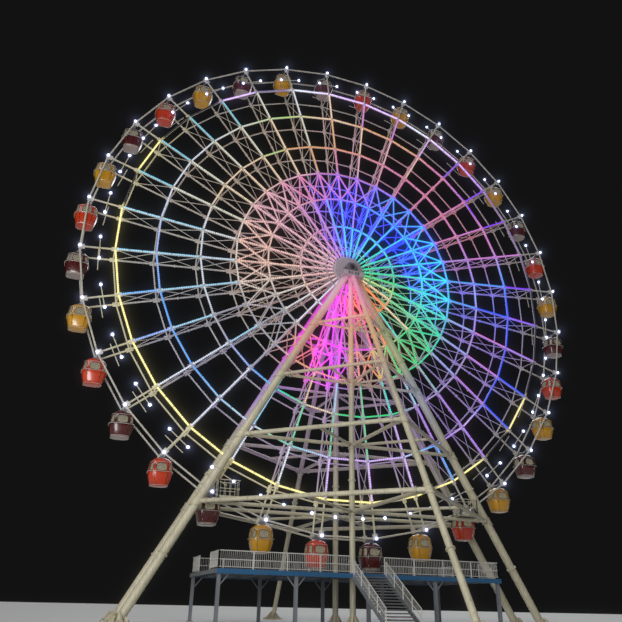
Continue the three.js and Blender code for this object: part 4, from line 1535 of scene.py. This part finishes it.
def add_deck_frame(shape):
    channel = real(40)  # half the width of an edge channel
    low, web = DECK_TOP - DECK_DEEP / 2 - real(20), (DECK_DEEP - real(40)) / 2
    inside_x, inside_y = DECK_X - real(82), DECK_Y - real(82)
    joist_y, joist_z = real(400), DECK_TOP - real(130)
    for side in (-1, 1):
        shape.box((0, side * (DECK_Y - channel), low), (DECK_X, channel, web))
        shape.box((side * (DECK_X - channel), 0, low), (channel, inside_y, web))
    for joist in (*range(-7, 0), *range(1, 8)):  # the pillars stand where the middle one would be
        for start, end in ((-inside_y, -joist_y), (joist_y, inside_y)):
            middle = (joist * DECK_X / 8, (start + end) / 2, joist_z)
            shape.box(middle, (real(35), (end - start) / 2, real(88)))
    for side in (-1, 1):
        shape.box((0, side * joist_y, joist_z), (inside_x, real(35), real(88)))
        edge = (DECK_X - real(10), real(8), real(150))
        shape.box((0, side * (DECK_Y + real(9)), DECK_TOP - real(150)), edge, finish=2)
        ring = real_pairs((0, 216), (0, 330), (25, 330), (40, 216))
        shape.turned((0, side * PILLAR_Y, DECK_TOP), (0, 0, 1), ring, 24)


def add_deck_posts(shape):
    for column in range(5):
        x = (DECK_X - POST) * (column / 2 - 1)
        for side in (-1, 1):
            y = side * (DECK_Y - POST)
            top = DECK_TOP - DECK_DEEP
            shape.box((x, y, top / 2), (POST / 2, POST / 2, top / 2))
            shape.box((x, y, real(12)), reals(210, 210, 12))
            shape.box((x, y, top - real(12)), reals(170, 170, 12))
            for i, j in CORNERS:
                shape.upright((x + i * real(165), y + j * real(165), real(20)), real(45), real(24), 6, 3)
            for step in (-1, 1):
                if abs(x + step * real(700)) < DECK_X - real(100):
                    foot = Vector((x + step * real(90), y, top - real(700)))
                    shape.tube(foot, (x + step * real(690), y, top + real(20)), real(45), 8)


deck = Shape()
add_planks(deck)
add_deck_frame(deck)
add_deck_posts(deck)
deck.piece("deck_frame_and_planks", "supports", "deck_paint", [DECK_PAINT, PLANKS, EDGE_PAINT, BOLT_STEEL],
           replaces=["boarding_deck"])
print("deck:", len(deck.faces), "faces")

# %% [markdown]
# ## Railings
#
# A railing has stout posts, a round handrail, a middle rail and thin upright bars that are too close
# together for a child to slip through. The bars are counted from the length of a run, so they come
# out evenly between its ends.

# %% Railings
BAR_STEP = real(130)


def railing_run(shape, start, end, floor, height, post_step, bar_step=BAR_STEP, bar_radius=real(10)):
    """A straight railing from start to end, two places in plan."""
    start, end = Vector((*start, floor)), Vector((*end, floor))
    up = Vector((0, 0, height))
    length = (end - start).length
    posts = max(1, round(length / post_step))
    for post in range(posts + 1):
        place = start.lerp(end, post / posts)
        shape.box(place + up / 2, (real(28), real(28), height / 2))
        shape.box(place + Vector((0, 0, real(8))), reals(75, 75, 8))
    for share, radius in ((1, real(30)), (0.5, real(22)), (0.1, real(20))):
        lift = up * share - Vector((0, 0, real(30) if share == 1 else 0))
        shape.tube(start + lift, end + lift, radius, 10)
    bars = max(1, round(length / bar_step))
    for bar in range(1, bars):
        place = start.lerp(end, bar / bars)
        shape.tube(place + up * 0.1, place + up - Vector((0, 0, real(40))), bar_radius, 6)


def deck_railing(side, start, end):
    shape = Shape()
    y = side * RAIL_Y
    railing_run(shape, (start, y), (end, y), RAIL_FOOT, RAIL_HEIGHT, real(2300))
    for x in (start, end):
        if abs(x) == RAIL_X:
            inner = side * (PILLAR_Y + PILLAR_RADIUS)
            railing_run(shape, (x, y), (x, inner), RAIL_FOOT, RAIL_HEIGHT, real(2500))
    return shape


for node, side, start, end in (("front_left_railing", -1, -RAIL_X, -STAIR_HALF),
                               ("front_right_railing", -1, STAIR_HALF, RAIL_X),
                               ("rear_railing", 1, -RAIL_X, RAIL_X)):
    shape = deck_railing(side, start, end)
    shape.piece(node + "_bars", "supports", "railing_paint", [RAILING_PAINT], replaces=[node])
    print(node, len(shape.faces), "faces")

# %% [markdown]
# ## Stair
#
# The stair has two plate stringers and folded treads between them, so light comes through the
# flight. Each tread is placed from the same rise and going as the solid model's steps, and the
# handrails follow the slope of the stringers.

# %% Stair
STEPS, GOING = 18, real(290)
RISE = DECK_TOP / STEPS
STAIR_FOOT = -DECK_Y - (STEPS - 1) * GOING
RAIL_POSTS = (1, 5, 9, 13, 17)  # the steps that carry a handrail's posts


def tread_point(step, across=0.0, lift=0.0):
    """The nose of a step, counted from 1 at the bottom."""
    return Vector((across, STAIR_FOOT + (step - 1) * GOING, step * RISE + lift))


def tread_middle(step, across, lift):
    return tread_point(step, across, lift) + Vector((0, GOING / 2, 0))


def stair_shape():
    shape = Shape()
    half = STAIR_HALF - real(45)
    for step in range(1, STEPS):
        nose = tread_point(step)
        shape.box(nose + Vector((0, GOING / 2, -real(15))), (half, GOING / 2, real(15)), finish=1)
        shape.box(nose + Vector(reals(0, 12, -45)), (half, real(10), real(35)), finish=2)
    outline = [(STAIR_FOOT, 0), (STAIR_FOOT, RISE), (-DECK_Y - GOING * 0.2, DECK_TOP - RISE * 0.2),
               (-DECK_Y - real(1), DECK_TOP - RISE), (-DECK_Y - real(1), DECK_TOP - RISE - real(220)),
               (STAIR_FOOT + GOING, 0)]
    for side in (-1, 1):
        faces = (STAIR_HALF, STAIR_HALF - real(40))
        plates = [[Vector((side * x, y, z)) for y, z in outline] for x in faces]
        shape.loft(plates[::-side])
        add_handrail(shape, side * (STAIR_HALF - real(20)))
    return shape


def add_handrail(shape, x):
    first, *_, last = RAIL_POSTS
    for step in RAIL_POSTS:
        shape.upright(tread_middle(step, x, -real(60)), real(1010), real(28), 10, 3)
    for lift, radius in real_pairs((950, 30), (500, 20)):
        shape.tube(tread_middle(first, x, lift), tread_middle(last, x, lift), radius, 10, 3)
    for bar in range(1, 4 * (last - first), 2):
        shape.upright(tread_middle(first + bar / 4, x, real(30)), real(900), real(9), 6, 3)


stair = stair_shape()
stair.piece("stair_flight", "supports", "deck_paint", [DECK_PAINT, PLANKS, BOLT_STEEL, RAILING_PAINT],
            replaces=["boarding_stair"])
print("stair:", STEPS, "steps of", round(RISE, 4), "m")

# %% [markdown]
# ## Service platforms
#
# Beside the rim, on the lowest level frame, stands a small cage for the fitter who changes lamps. It
# is a floor with a kick plate and an open fence, so it reuses the railing helper with a wider step.

# %% Service platforms
PLATFORM_X, PLATFORM_Y = real(9450), -BEARING_OFFSET - real(200)
PLATFORM_HALF = reals(770, 650)
PLATFORM_LOW = HUB.z - FRAME_DROPS["lower"] + FRAME_BEAMS["lower"] + BOLTED_GAP


def platform_shape(x):
    shape = Shape()
    half_x, half_y = PLATFORM_HALF
    floor, beam = PLATFORM_LOW + real(80), real(25)
    plate, kick = (half_x - real(6), half_y - real(6), real(15)), (half_x - real(60), real(6), real(60))
    shape.box((x, PLATFORM_Y, PLATFORM_LOW + real(65)), plate, finish=1)
    for step in (-1, 1):
        beam_x, beam_y = x + step * (half_x - beam), PLATFORM_Y + step * (half_y - beam)
        shape.box((x, beam_y, PLATFORM_LOW + beam), (half_x, beam, beam))
        shape.box((beam_x, PLATFORM_Y, PLATFORM_LOW + beam), (beam, half_y - real(52), beam))
        shape.box((x, PLATFORM_Y + step * (half_y - real(30)), floor + real(60)), kick)
    corners = [(x + i * (half_x - real(30)), PLATFORM_Y + j * (half_y - real(30))) for i, j in CORNERS]
    for start, end in zip(corners, corners[1:] + corners[:1]):
        railing_run(shape, start, end, floor, real(1220), real(1600), real(380), real(16))
    return shape


for word, side in (("left", -1), ("right", 1)):
    node = word + "_service_platform"
    platform = platform_shape(side * PLATFORM_X)
    platform.piece(node + "_cage", "supports", "deck_paint", [LEG_PAINT, PLANKS], replaces=[node])
print("service platforms at x =", PLATFORM_X, "m either side")

# %% [markdown]
